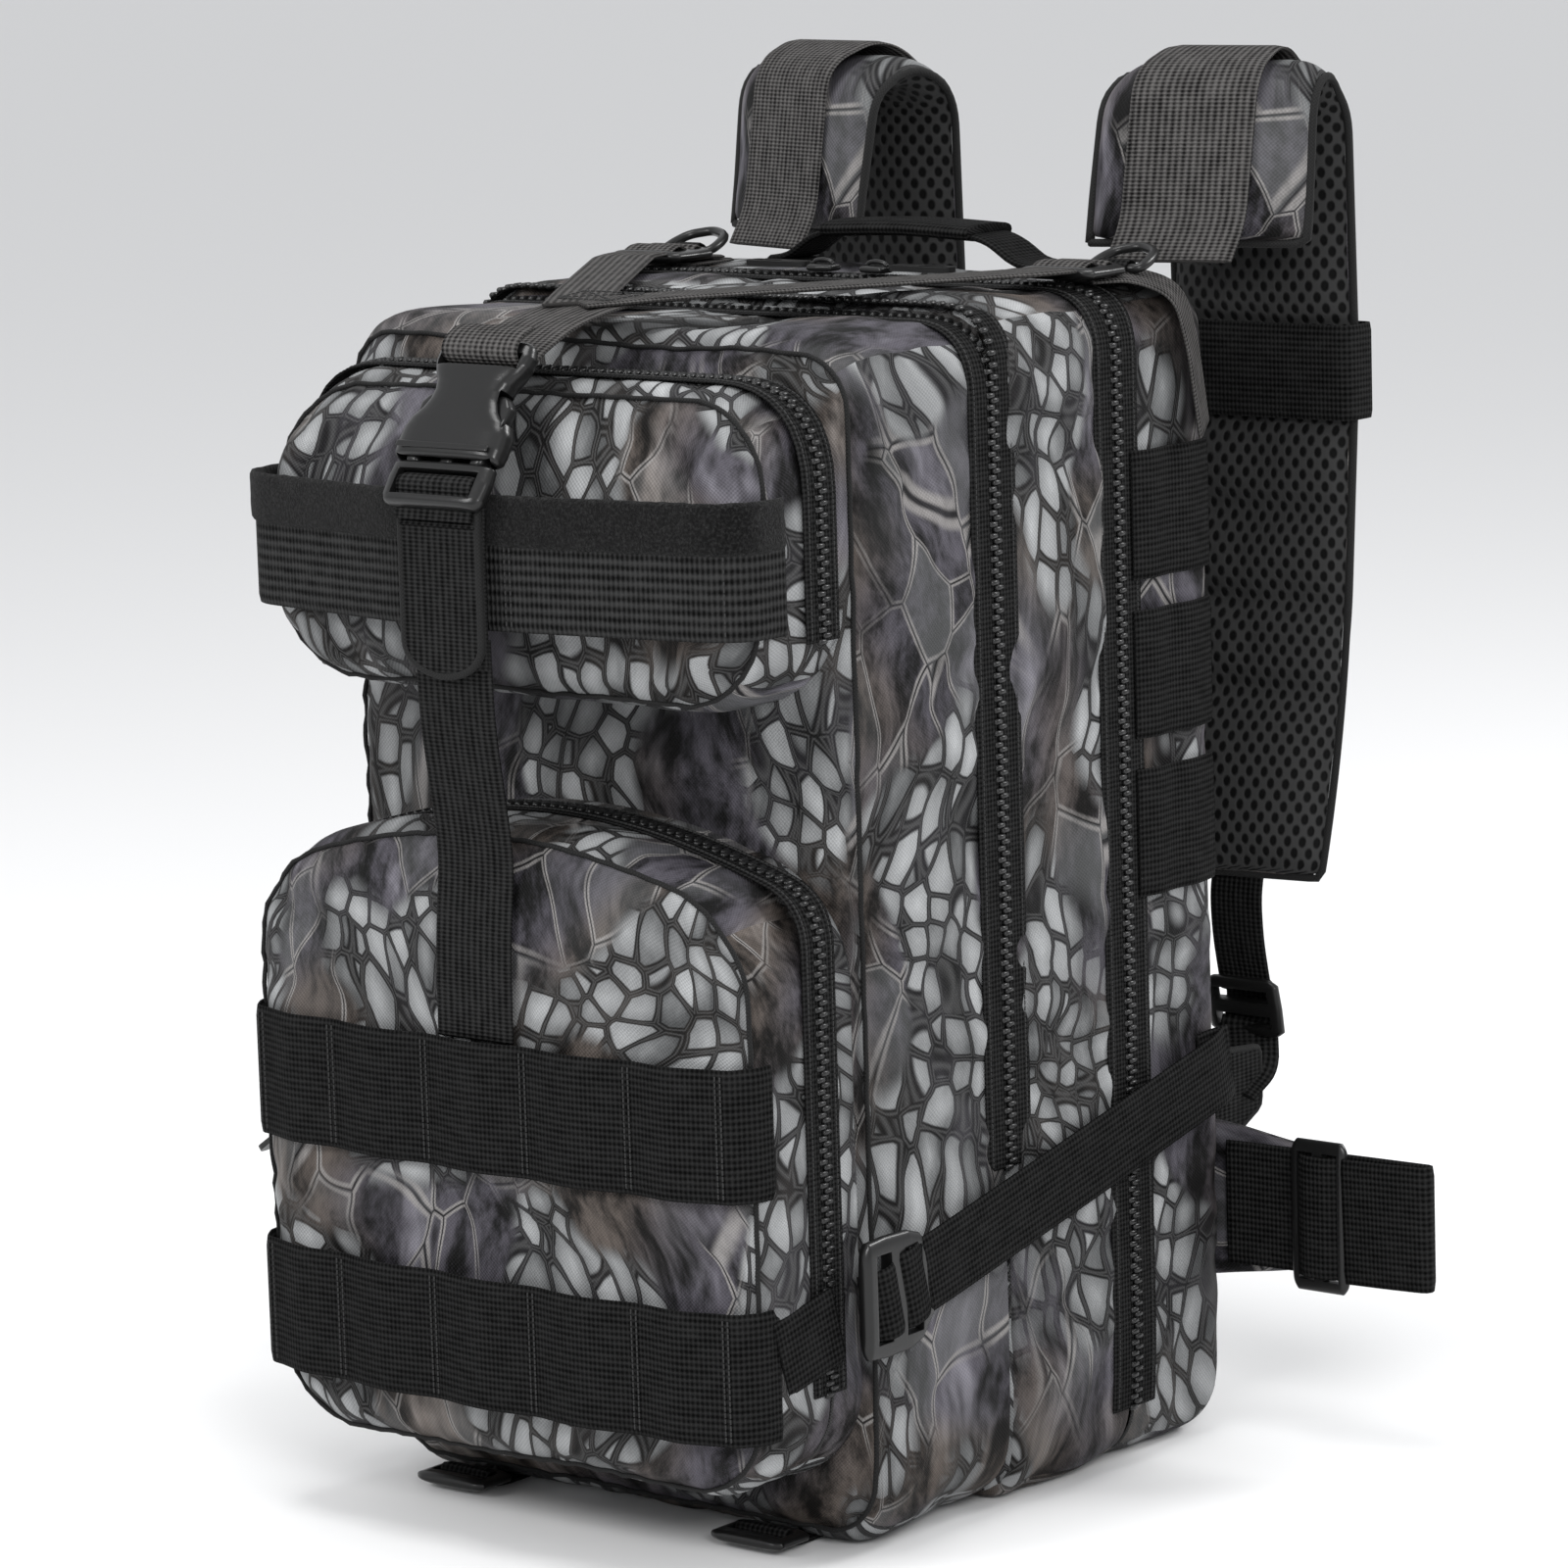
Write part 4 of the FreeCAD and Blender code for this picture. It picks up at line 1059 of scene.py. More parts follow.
def spool_band():
    """Ribbed webbing and a loop strip that stand off across the top pocket, sewn at five uprights."""
    band = strap("spool_webbing", upright(BAND_PLAN, BAND_Z), UPWARD, 36, 1.8, BAND_WEB, 12, 3)
    finish(band, "front_flap", "spool_band", slot="webbing")
    plan = [(x * 1.004, y - 0.9) for x, y in BAND_PLAN]
    fuzz = strap("spool_loop_strip", upright(plan, LOOP_Z), UPWARD, 19, 3.0, LOOP, 12, 3)
    points = points_of(fuzz)
    move_points(fuzz, points + normals_of(fuzz) * (ripple(points, 0.0022, 3)[:, None] * 0.0005))
    finish(fuzz, "front_flap", slot="webbing")
    seams = [(x, -183.2) for x in (-115.0, 115.0)] + [(x, -199.6) for x in (-27, -24.5, 24.5, 27)]
    runs = [((x, y, BAND_Z - 16), (x, y, BAND_Z + 16), FORWARD) for x, y in seams]
    stitches("spool_band_stitches", runs, "front_flap", 2.2, 1.8)


TAIL_ROUND = 12


def tail_reach(z, low, half):
    """Half the width of a strap's round end at one height."""
    if z >= low + TAIL_ROUND:
        return half
    if z <= low:
        return half * 0.12
    return half * math.sqrt(max(0.0, 1 - ((low + TAIL_ROUND - z) / TAIL_ROUND) ** 2))


def rounded_tail(name, top, low, y, width):
    """A strap end cut to a round and bound with tape."""
    half = width / 2
    rows, columns = 18, 12
    points, uvs = [], []
    for shift in (0.9, -0.9):
        for r in range(rows + 1):
            z = low + (top - low) * r / rows
            reach = tail_reach(z, low, half)
            for c in range(columns + 1):
                x = (c / columns * 2 - 1) * reach
                points.append(Vector((x, y + shift, z)) * MM)
                uvs.append(((x + half) * MM, (top - z) * MM))
    tail = new_piece(f"{name}_web", points, plate_faces(rows, columns), [STRAP_WEB], uvs)
    edge = [(-half, top), (-half, low + TAIL_ROUND)]
    for k in range(1, 12):
        angle = math.pi * k / 12
        edge.append((-half * math.cos(angle), low + TAIL_ROUND - TAIL_ROUND * math.sin(angle)))
    edge += [(half, low + TAIL_ROUND), (half, top)]
    hem = tube(f"{name}_hem", [(x, y, z) for x, z in edge], 3.0, BINDING, 5, 8, 2.5, (0, 1, 0))
    return join(name, [tail, hem])


CENTRE_LINE = [(-202, 352), (-201.6, 322), (-197, 292), (-193.6, 268), (-197.4, 236), (-198, 200)]
UPPER_LINE = [(-202.4, 407), (-203.6, 388), (-204, 341)]


def on_middle(line):
    """A side view's (y, z) corners, on the bag's middle plane."""
    return [(0, y, z) for y, z in line]


def centre_strap():
    """The strap down the front: its sewn and free part, the part under the buckle, and the loose tail."""
    centre = strap("centre_strap", on_middle(CENTRE_LINE), LEFTWARD, 37, 1.8, STRAP_WEB, 16, 3)
    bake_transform(centre)
    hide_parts("center_strap_free", "center_strap_sewn")
    upper = strap("upper_centre_strap", on_middle(UPPER_LINE), LEFTWARD, 38, 1.8, STRAP_WEB, 16)
    finish(upper, "center_buckle", "center_strap_upper", slot="webbing")
    tail = rounded_tail("centre_strap_tail", 401, 338, -207.2, 38)
    finish(tail, "center_buckle", "center_strap_tail", slot="webbing")


molle_row("upper_webbing_row", "molle_row_upper", ROW_MIDDLES[0])
molle_row("lower_webbing_row", "molle_row_lower", ROW_MIDDLES[1])
spool_band()
centre_strap()


# ---------------------------------------------------------------- compression webbing

def webs(name, side, across, width, material, lengths):
    """Lengths of webbing mirrored to their side and joined, each (corners, thickness, radius, step)."""
    parts = []
    for corners, thick, radius, step in lengths:
        parts.append(strap("length", mirror_x(corners, side), across, width, thick, material, radius, step))
    return join(name, parts)


def on_right(side, *nodes):
    """The CAD nodes that hold both sides are stood for by the right hand piece."""
    return nodes if side == 1 else ()


def at_x(x, line):
    """A side view's (y, z) corners, at one x."""
    return [(x, y, z) for y, z in line]


NOSE_LINE = [(-177, 447), (-168, 453.5), (-150, 461.5), (-128, 466.2), (-98, 467.6)]
YOKE_ARM = [(1, -126, 467.8), (20, -98, 468.9), (101, 20, 469.9), (103.5, 34, 469.9)]


def yoke():
    """The Y over the top: a wide nose, an arm to each lock, and a crossed box of sewing."""
    parts = [strap("yoke_nose", on_middle(NOSE_LINE), LEFTWARD, 38, 2.0, GREY_WEB, 10, 3)]
    for side, word in SIDES:
        arm = mirror_x(YOKE_ARM, side)
        parts.append(strap(f"yoke_arm_{word}", arm, (-side * 0.83, 0.56, 0), 25, 1.8, GREY_WEB, 14, 3))
    finish(join("yoke", parts), "front_flap", "yoke_webbing", slot="grey_webbing")
    runs = [((-x, y, z), (x, y, z), UPWARD) for x, y, z in ((13, -122, 469.4), (15, -104, 470.4))]
    runs += [((s * 13, -122, 469.4), (s * 15, -104, 470.4), UPWARD) for s in (1, -1)]
    runs += [((s * 13, -122, 469.6), (-s * 15, -104, 470.6), UPWARD) for s in (1, -1)]
    stitches("yoke_stitches", runs, "front_flap", 2.6, 2.1)


TOP_LOCK_X = 103
RING_X = 108
LOCK_LENGTHS = [
    (at_x(TOP_LOCK_X, [(76, 464.2), (50, 464.2)]), 1.6, 8, 4),
    (at_x(TOP_LOCK_X, [(70, 466), (58, 467), (55, 471.5), (51, 471.8), (49.6, 468)]), 1.5, 3, 1.5),
    (at_x(TOP_LOCK_X, [(35.5, 470), (40, 472.2), (44, 472.6), (47, 470), (49, 466.4)]), 1.4, 3, 1.5),
]
LOOSE_END = [(106, 49, 465.8), (118, 66, 466), (129.5, 78, 459), (131.2, 84, 440), (130.6, 92, 404)]
RING_LOOP = at_x(RING_X, [(73.5, 465.6), (69, 470.9), (65.4, 471.2), (62.7, 468), (61.6, 465.4)])


def top_webbing(side, word):
    """What is sewn to the top on one side: the lock's webbing and its loose end, and the tabs."""
    lock = webs("lock", side, LEFTWARD, 25, GREY_WEB, LOCK_LENGTHS)
    loose = webs("loose_end", side, (-side * 0.45, 0.87, 0.1), 25, GREY_WEB, [(LOOSE_END, 1.6, 12, 3)])
    finish(join(f"yoke_lock_webbing_{word}", [lock, loose]), "pack", slot="grey_webbing")
    handle_tab = [(52, 80, 464.3), (74, 80, 464.3)]
    ring_tab = at_x(RING_X, [(62, 464.4), (72, 464.6)])
    tabs = join(f"top_tabs_{word}", [
        webs("handle_anchor", side, (0, 1, 0), 27, BLACK_WEB, [(handle_tab, 2, 8, 4)]),
        webs("ring_tab", side, LEFTWARD, 17, BLACK_WEB, [(ring_tab, 1.8, 8, 4)]),
        webs("ring_loop", side, LEFTWARD, 15, BLACK_WEB, [(RING_LOOP, 1.2, 3, 1.5)]),
    ])
    finish(tabs, "pack", *on_right(side, "top_tabs"), slot="webbing")


SLOPE = (0, -0.215, 0.977)
SIDE_STRAP = [(134.9, -103, 107.4), (135.2, -91, 110), (135, 0, 130), (133.8, 90, 149.8), (131, 99.5, 152)]
SIDE_ROOT = [(131.5, 99.6, 152), (128.8, 92, 151), (128.3, 84, 150)]
WRAP_REAR = [(135, -103.6, 107.3), (137.2, -108.8, 106.2), (137.0, -115, 104.8), (134, -118.4, 104)]
WRAP_FRONT = [(134, -118.4, 104), (137.2, -122, 103.2), (137.4, -127, 102), (134, -131.2, 101),
              (131.0, -135.4, 100)]
LOCK_BASE = [(129.3, -96, 104), (129.3, -110, 104)]
POCKET_TAB = [(124.3, -176, 89), (125, -166, 91.6), (126.6, -145, 97)]


def side_webbing(side, word):
    """The strap along one side, its threading through the lock, and the tab from the pocket."""
    long_part = webs(f"side_strap_{word}", side, SLOPE, 30, BLACK_WEB, [(SIDE_STRAP, 1.8, 14, 3)])
    finish(long_part, "pack", *on_right(side, "side_straps"), slot="webbing")
    root = webs(f"side_strap_root_{word}", side, SLOPE, 30, BLACK_WEB, [(SIDE_ROOT, 2.0, 4, 2)])
    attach(root, "pack")
    threading = join(f"side_lock_webbing_{word}", [
        webs("wrap_rear", side, SLOPE, 30, BLACK_WEB, [(WRAP_REAR, 1.6, 3, 1.5)]),
        webs("wrap_front", side, SLOPE, 28, BLACK_WEB, [(WRAP_FRONT, 1.6, 3, 1.5)]),
        webs("lock_base", side, UPWARD, 30, BLACK_WEB, [(LOCK_BASE, 1.8, 8, 4)]),
    ])
    finish(threading, "front_flap", slot="webbing")
    tab = webs(f"pocket_side_tab_{word}", side, (0, -0.245, 0.97), 30, BLACK_WEB, [(POCKET_TAB, 1.8, 6, 2)])
    finish(tab, "lower_pocket", *on_right(side, "pocket_side_tabs"), slot="webbing")


BOTTOM_X = 75
BOTTOM_LENGTHS = [
    (at_x(BOTTOM_X, [(-58, 1.2), (-123, 1.2), (-128, 2.6)]), 1.8, 8, 4),
    (at_x(BOTTOM_X, [(-123, 2.6), (-127.5, 7.8), (-131, 8.4), (-133, 3.4)]), 1.4, 3, 1.5),
]
SIDE_ROW_PLAN = [(128.6, 46), (129.6, 50), (131.2, 57), (129.6, 66), (129.6, 70), (131.2, 80), (129.6, 90),
                 (127.6, 97)]
SIDE_ROW_MIDDLES = (251, 313, 375)


def rows_and_bottom(side, word):
    """The bottom strap with its loop, and the three rows on one side of the rear section."""
    bottom = webs(f"bottom_webbing_{word}", side, LEFTWARD, 25, BLACK_WEB, BOTTOM_LENGTHS)
    finish(bottom, "front_flap", *on_right(side, "bottom_straps"), slot="webbing")
    lengths = [(upright(SIDE_ROW_PLAN, z), 1.6, 4, 2.5) for z in SIDE_ROW_MIDDLES]
    rows = webs(f"side_rows_{word}", side, UPWARD, ROW_WIDTH, BLACK_WEB, lengths)
    finish(rows, "pack", *on_right(side, "side_webbing"), slot="webbing")


yoke()
for side, word in SIDES:
    top_webbing(side, word)
    side_webbing(side, word)
    rows_and_bottom(side, word)


# ---------------------------------------------------------------- carry handle and rings

HANDLE_END = [(-66, 80, 466.2), (-57, 80, 467.4), (-42, 80, 477.4)]
HANDLE_LINE = HANDLE_END + [(0, 80, 479.2)] + mirror_x(HANDLE_END[::-1], -1)


def squircle(half_wide, half_high, side_power, top_power):
    """A rounded oblong section in metres, from sizes in millimetres."""
    section = []
    count = 20
    for k in range(count):
        angle = 2 * math.pi * k / count
        c, s = math.cos(angle), math.sin(angle)
        section.append((math.copysign(abs(c) ** side_power, c) * half_wide * MM,
                        math.copysign(abs(s) ** top_power, s) * half_high * MM))
    return section


def carry_handle():
    """A webbing handle with a padded grip, its webbing rising from where it is sewn down."""
    web = strap("handle_strap", HANDLE_LINE, (0, 1, 0), 25, 2.6, BLACK_WEB, 9, 3)
    route = rounded_route([(-37, 80, 478.8), (0, 80, 480.4), (37, 80, 478.8)], 20, 3)
    grip = sweep("handle_grip", route, (0, 1, 0), squircle(15, 3.4, 0.6, 0.8), [BLACK_WEB])
    handle = join("handle", [web, grip])
    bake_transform(handle)
    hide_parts("carry_handle")
    runs = []
    for y in (66.8, 93.2):
        runs += [((-36, y, 480.4), (0, y, 481.6), UPWARD), ((0, y, 481.6), (36, y, 480.4), UPWARD)]
    stitches("handle_stitches", runs, "carry_handle", 3.0, 2.2)


RING_TILT = 0.35
RING_WIRE = 4.0
RING_CORNERS = [(-12, 0), (12, 0), (12, 8), (9.5, 15.5), (0, 20), (-9.5, 15.5), (-12, 8), (-12, 0)]


def d_ring(side, word):
    """A wire ring that leans back on its tab."""
    lean = (math.cos(RING_TILT), math.sin(RING_TILT))
    corners = [(side * RING_X + x, 66 + y * lean[0], 468 + y * lean[1]) for x, y in RING_CORNERS]
    ring = tube(f"ring_{word}", corners, RING_WIRE, METAL, 3.5, 8, 1.6, (0, -lean[1], lean[0]))
    finish(ring, f"ring_{word}", f"d_ring_{word}", slot="buckle_plastic")


carry_handle()
for side, word in SIDES:
    d_ring(side, word)


# ---------------------------------------------------------------- harness

def pillow_section(half_wide, half_thick, columns):
    """The closed section of a stuffed strip: outer face first, then the inner face back again."""
    outer = []
    for k in range(columns + 1):
        share = k / columns * 2 - 1
        outer.append((share * half_wide, half_thick * max(1 - abs(share) ** 4, 0) ** 0.55 + 0.0006))
    return outer + [(x, -y) for x, y in reversed(outer)]


def toed_in(obj, side):
    """Turns the front limb of a shoulder strap a little, its outer edge to the rear."""
    points = points_of(obj)
    limb = np.clip((0.172 - points[:, 1]) / 0.04, 0, 1)
    points[:, 1] += (points[:, 0] * side - 0.098) * 0.29 * limb
    points[:, 0] += side * 0.004 * limb
    move_points(obj, points)


def channel_pinch(runs, channels):
    """How much of a strip's thickness is left along it: less at its ends and at each sewn channel."""
    total = runs[-1]
    pinch = np.ones(len(runs))
    for channel in channels:
        pinch *= 1 - 0.55 * np.exp(-(((runs - channel * total) / 0.0045) ** 2))
    return pinch * np.clip(np.minimum(runs, total - runs) / 0.009, 0.08, 1) ** 0.5


def quilt_pins(rows, columns, runs, channels):
    """Holds a strip at its two edges, at its ends and along its channels."""
    around = (columns + 1) * 2
    pins = {}
    for number, row in enumerate(rows):
        near_channel = channels and min(abs(runs[row] - c * runs[-1]) for c in channels) < 0.003
        if number % around in (0, columns, columns + 1, around - 1):
            pins[number] = 0.95
        elif near_channel or row in (0, len(runs) - 1):
            pins[number] = 0.85
    return pins


def quilted(name, corners, across, half_wide, half_thick, channels, narrow, radius, step, columns, cap):
    """A padded strip along a route, puffed between its edges and its sewn cross channels.

    Sizes are in millimetres, but cap is in metres. narrow gives the width at each share of the length."""
    route = rounded_route(corners, radius, step)
    section = pillow_section(half_wide * MM, half_thick * MM, columns)
    slots = [0] * columns + [0] + [1] * columns + [0]
    strip = sweep(name, route, across, section, [CAMO, MESH], slots)
    points = points_of(strip)
    centres = np.array([tuple(p) for p in route])
    runs = np.concatenate([[0], np.cumsum(np.linalg.norm(np.diff(centres, axis=0), axis=1))])
    rows = np.repeat(np.arange(len(route)), len(section))
    middle = centres[rows]
    side = np.array(Vector(across).normalized())
    lateral = ((points - middle) @ side)[:, None] * side
    depth = (points - middle) - lateral
    lateral = lateral * narrow(runs[rows] / runs[-1])[:, None]
    move_points(strip, middle + lateral + depth * channel_pinch(runs, channels)[rows][:, None])
    points = points_of(strip)
    creases = ripple(points, 0.03, len(name)) * 0.0008
    move_points(strip, points + normals_of(strip) * creases[:, None])
    inflate(strip, quilt_pins(rows, columns, runs, channels), 2.5, 0.02, (0.002, cap))
    return strip, route


PAD_ROUTE = [(130, 472), (140.5, 530), (160, 539), (178.5, 524), (181, 420), (173, 320), (153, 216)]
OVER_ROUTE = [(110, 466.5), (120.5, 481), (131.4, 540), (160, 549.6), (188.2, 531), (190.4, 498)]
PAD_CHANNELS = (0.46, 0.55, 0.64, 0.73, 0.82)
SHOULDER_X = 98
PAD_HALF = 43
KEEPER_Z = 418


def pad_narrowing(share):
    """A shoulder pad's width, as a share of its full width, along its length."""
    return 1 - 0.16 * np.clip((share - 0.72) / 0.28, 0, 1) ** 2


def pad_rim(route):
    """The pad's outline in millimetres: down one edge, up the other and closed."""
    edges = []
    for edge in (-1, 1):
        rim = []
        for number, place in enumerate(route):
            reach = (PAD_HALF + 0.4) * float(pad_narrowing(number / (len(route) - 1)))
            rim.append((place.x / MM + edge * reach, place.y / MM, place.z / MM))
        edges.append(rim)
    return edges[0] + edges[1][::-1] + edges[0][:1]


def shoulder_pad(side, word):
    """A padded strap with bound edges, the webbing over its top and its keeper."""
    x = SHOULDER_X * side
    body = f"shoulder_{word}"
    pad, route = quilted(f"shoulder_pad_cloth_{word}", at_x(x, PAD_ROUTE), (1, 0, 0), PAD_HALF, 6.6,
                         PAD_CHANNELS, pad_narrowing, radius=14, step=5.0, columns=14, cap=0.004)
    piping = tube("piping", pad_rim(route), 3.4, BINDING, 4, 7, 4, (0.3, 0.9, 0.2))
    whole = join(f"shoulder_pad_soft_{word}", [smooth_over(pad), piping])
    toed_in(whole, side)
    finish(whole, body, f"shoulder_pad_{word}", slot="camo")
    over = strap(f"shoulder_strap_{word}", at_x(x, OVER_ROUTE), (-side, 0, 0), 50, 1.9, GREY_WEB, 12, 3)
    toed_in(over, side)
    finish(over, body, f"shoulder_webbing_{word}", slot="grey_webbing")
    ring = [(-46, 176), (-46, 171.5), (0, 170.5), (46, 171.5), (46.5, 181), (46, 190), (0, 192), (-46, 190),
            (-46.5, 181), (-46, 174)]
    plan = [(x + reach, y) for reach, y in ring]
    keeper = strap(f"keeper_band_{word}", upright(plan, KEEPER_Z), UPWARD, 38, 1.5, BLACK_WEB, 5, 2.5)
    finish(keeper, body, slot="webbing")


LOWER_LINE = [(157, 222), (153, 208), (154, 190), (158, 172), (159.8, 166)]
ADJUSTER_WRAP = [(158, 172), (162.8, 168), (163.6, 161), (160, 157), (156, 160)]
TAB_X = 110
TAB_SHAPE = [(104.2, 100), (104.2, 150), (150, 146), (150, 122)]
RETURN_LINE = [(105.5, 136, 131), (105.5, 151, 138), (101, 157, 147), (98, 160.5, 152.5), (98, 163.4, 155.5),
               (98, 160.6, 158)]


def lower_strap(side, word):
    """The strap under a shoulder pad, through its adjuster and back to the bag's corner."""
    x = SHOULDER_X * side
    body = f"shoulder_{word}"
    low = strap("lower_strap", at_x(x, LOWER_LINE), (-side, 0, 0), 25, 1.7, BLACK_WEB, 10, 3)
    wrap = strap("adjuster_wrap", at_x(x, ADJUSTER_WRAP), (-side, 0, 0), 25, 1.5, BLACK_WEB, 3, 1.5)
    finish(join(f"lower_webbing_cloth_{word}", [low, wrap]), body, f"lower_webbing_{word}", slot="webbing")
    back = strap(f"adjuster_strap_{word}", mirror_x(RETURN_LINE, side), (-side * 0.8, -0.35, 0.25), 23, 1.5,
                 BLACK_WEB, 5, 2)
    finish(back, body, slot="webbing")


def corner_tab(side, word):
    """The bound triangle of webbing at the bag's lower corner."""
    x = side * TAB_X
    uvs = [((y - 104) * MM, (z - 100) * MM) for y, z in TAB_SHAPE]
    points = [Vector(place) * MM for shift in (1.1, -1.1) for place in at_x(x + shift, TAB_SHAPE)]
    faces = [(0, 1, 2, 3), (7, 6, 5, 4)]
    faces += [(b, a, a + 4, b + 4) for a, b in ((0, 1), (1, 2), (2, 3), (3, 0))]
    tab = new_piece("corner_tab", points, faces, [STRAP_WEB], uvs * 2)
    tab.data.polygons.foreach_set("use_smooth", [False] * len(faces))
    rim = at_x(x, TAB_SHAPE[1:] + TAB_SHAPE[:1])
    hem = tube("tab_hem", rim, 3.0, BINDING, 3, 8, 3, (1, 0, 0))
    finish(join(f"corner_tabs_{word}", [tab, hem]), "pack", *on_right(side, "lower_strap_tabs"), slot="camo")


BELT_Z = 93
WING_ROUTE = [(106, 109.4, BELT_Z), (126, 111.8, BELT_Z), (163, 113.4, BELT_Z)]
BELT_ROUTE = [(125.5, 104.9, BELT_Z), (134, 105.9, BELT_Z), (150, 106.5, BELT_Z), (190, 106.8, 93.5),
              (222.6, 106.2, 94), (224, 103, 94), (222.4, 100, 94), (206, 99.2, 93.6), (185, 99.4, BELT_Z)]


def wing_narrowing(share):
    """A belt wing's width, as a share of its full width, along its length."""
    return 1 - 0.26 * share ** 1.3


def belt_piece(piece, word, node):
    """Bakes a belt piece into place and hides its CAD node."""
    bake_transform(piece)
    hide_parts(f"{node}_{word}")


def belt_half(side, word):
    """Half of the waist belt: a thin padded wing and webbing folded back at its end."""
    wing = quilted(f"belt_wing_cloth_{word}", mirror_x(WING_ROUTE, side), (0, 0, -side), 33, 3.2, (),
                   wing_narrowing, radius=3, step=4.0, columns=10, cap=0.0008)[0]
    wing = smooth_over(wing)
    belt_piece(wing, word, "belt_wing")
    belt = strap(f"belt_strap_{word}", mirror_x(BELT_ROUTE, side), (0, 0, -side), 50, 1.7, BLACK_WEB, 4, 2.5)
    belt_piece(belt, word, "belt_webbing")


for side, word in SIDES:
    shoulder_pad(side, word)
    lower_strap(side, word)
    corner_tab(side, word)
    belt_half(side, word)


# ---------------------------------------------------------------- back panel

PAD_CELL = 5
PAD_CORNER = 14
PAD_FRONT_Y = 104.4
PAD_EDGE_Y = 105.2
PAD_DOME = 8.0


def pad_point(u, v, middle, half, channels):
    """A point of a pad's domed face. u and v run from -1 to 1 over its width and height."""
    x = middle[0] + half[0] * u
    z = middle[1] + half[1] * v
    beyond = [PAD_CORNER - (1 - abs(share)) * reach for share, reach in zip((u, v), half)]
    over = [max(0.0, gap) / PAD_CORNER for gap in beyond]
    pull = max(0.0, math.hypot(*over) - 1) * PAD_CORNER * 0.7
    x -= math.copysign(pull * (over[0] > 0), u)
    z -= math.copysign(pull * (over[1] > 0), v)
    dome = max(0.0, 1 - min(1, (abs(u) ** 8 + abs(v) ** 12) ** 0.25)) ** 0.35
    for channel in channels:
        dome *= 1 - 0.6 * math.exp(-((z - channel) / 4.5) ** 2)
    return x, PAD_EDGE_Y + PAD_DOME * dome, z


def back_pad(name, x0, x1, z0, z1, channels):
    """A foam pad under spacer mesh: a domed block with sewn channels across it and a bound edge."""
    middle = ((x0 + x1) / 2, (z0 + z1) / 2)
    half = ((x1 - x0) / 2, (z1 - z0) / 2)
    columns = int((x1 - x0) / PAD_CELL)
    rows = int((z1 - z0) / PAD_CELL)
    face = []
    for r in range(rows + 1):
        for c in range(columns + 1):
            face.append(pad_point(c / columns * 2 - 1, r / rows * 2 - 1, middle, half, channels))
    points = face + [(x, PAD_FRONT_Y, z) for x, _, z in face]
    uvs = [(x * MM, z * MM) for x, _, z in points]
    pad = new_piece(name, np.array(points) * MM, plate_faces(rows, columns), [MESH], uvs)
    rim = [(x0 + 8, z0), (x1 - 8, z0), (x1, z0 + 8), (x1, z1 - 8)]
    rim += [(x1 - 8, z1), (x0 + 8, z1), (x0, z1 - 8), (x0, z0 + 8)]
    loop = [(x, PAD_EDGE_Y + 0.2, z) for x, z in rim + rim[:1]]
    piping = tube("pad_piping", loop, 3.2, BINDING, 6, 7, 4, (0, 1, 0))
    whole = join(f"{name}_soft", [smooth_over(pad), piping])
    return finish(whole, "pack", slot="mesh_foam")


UPPER_CHANNELS = (222, 270, 318, 366)
back_pad("back_pad_left", -97, -11, 172, 418, UPPER_CHANNELS)
back_pad("back_pad_right", 11, 97, 172, 418, UPPER_CHANNELS)
lumbar = back_pad("lumbar_pad", -97, 97, 68, 148, (108,))
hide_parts("back_pads")


# ---------------------------------------------------------------- moulded buckles and locks

def block(lows, highs):
    """A plain box, used as a cutter."""
    spans = list(zip(lows, highs))
    corners = [(x, y, z) for x in spans[0] for y in spans[1] for z in spans[2]]
    faces = [(0, 1, 3, 2), (4, 6, 7, 5), (0, 4, 5, 1), (2, 3, 7, 6), (0, 2, 6, 4), (1, 5, 7, 3)]
    return new_piece("cutter", [Vector(c) * MM for c in corners], faces, [PLASTIC])


def soften(piece, width, angle):
    """Bevels the sharp edges of a piece, by a width in millimetres."""
    made = piece.modifiers.new("edges", "BEVEL")
    made.width = width * MM
    made.segments = 2
    made.limit_method = "ANGLE"
    made.angle_limit = math.radians(angle)


def slotted(piece, cuts):
    """Cuts boxes right through a piece."""
    for lows, highs in cuts:
        cutter = block(lows, highs)
        made = piece.modifiers.new("slot", "BOOLEAN")
        made.operation = "DIFFERENCE"
        made.object = cutter
        made.solver = "EXACT"
        settle(piece)
        bpy.data.objects.remove(cutter)


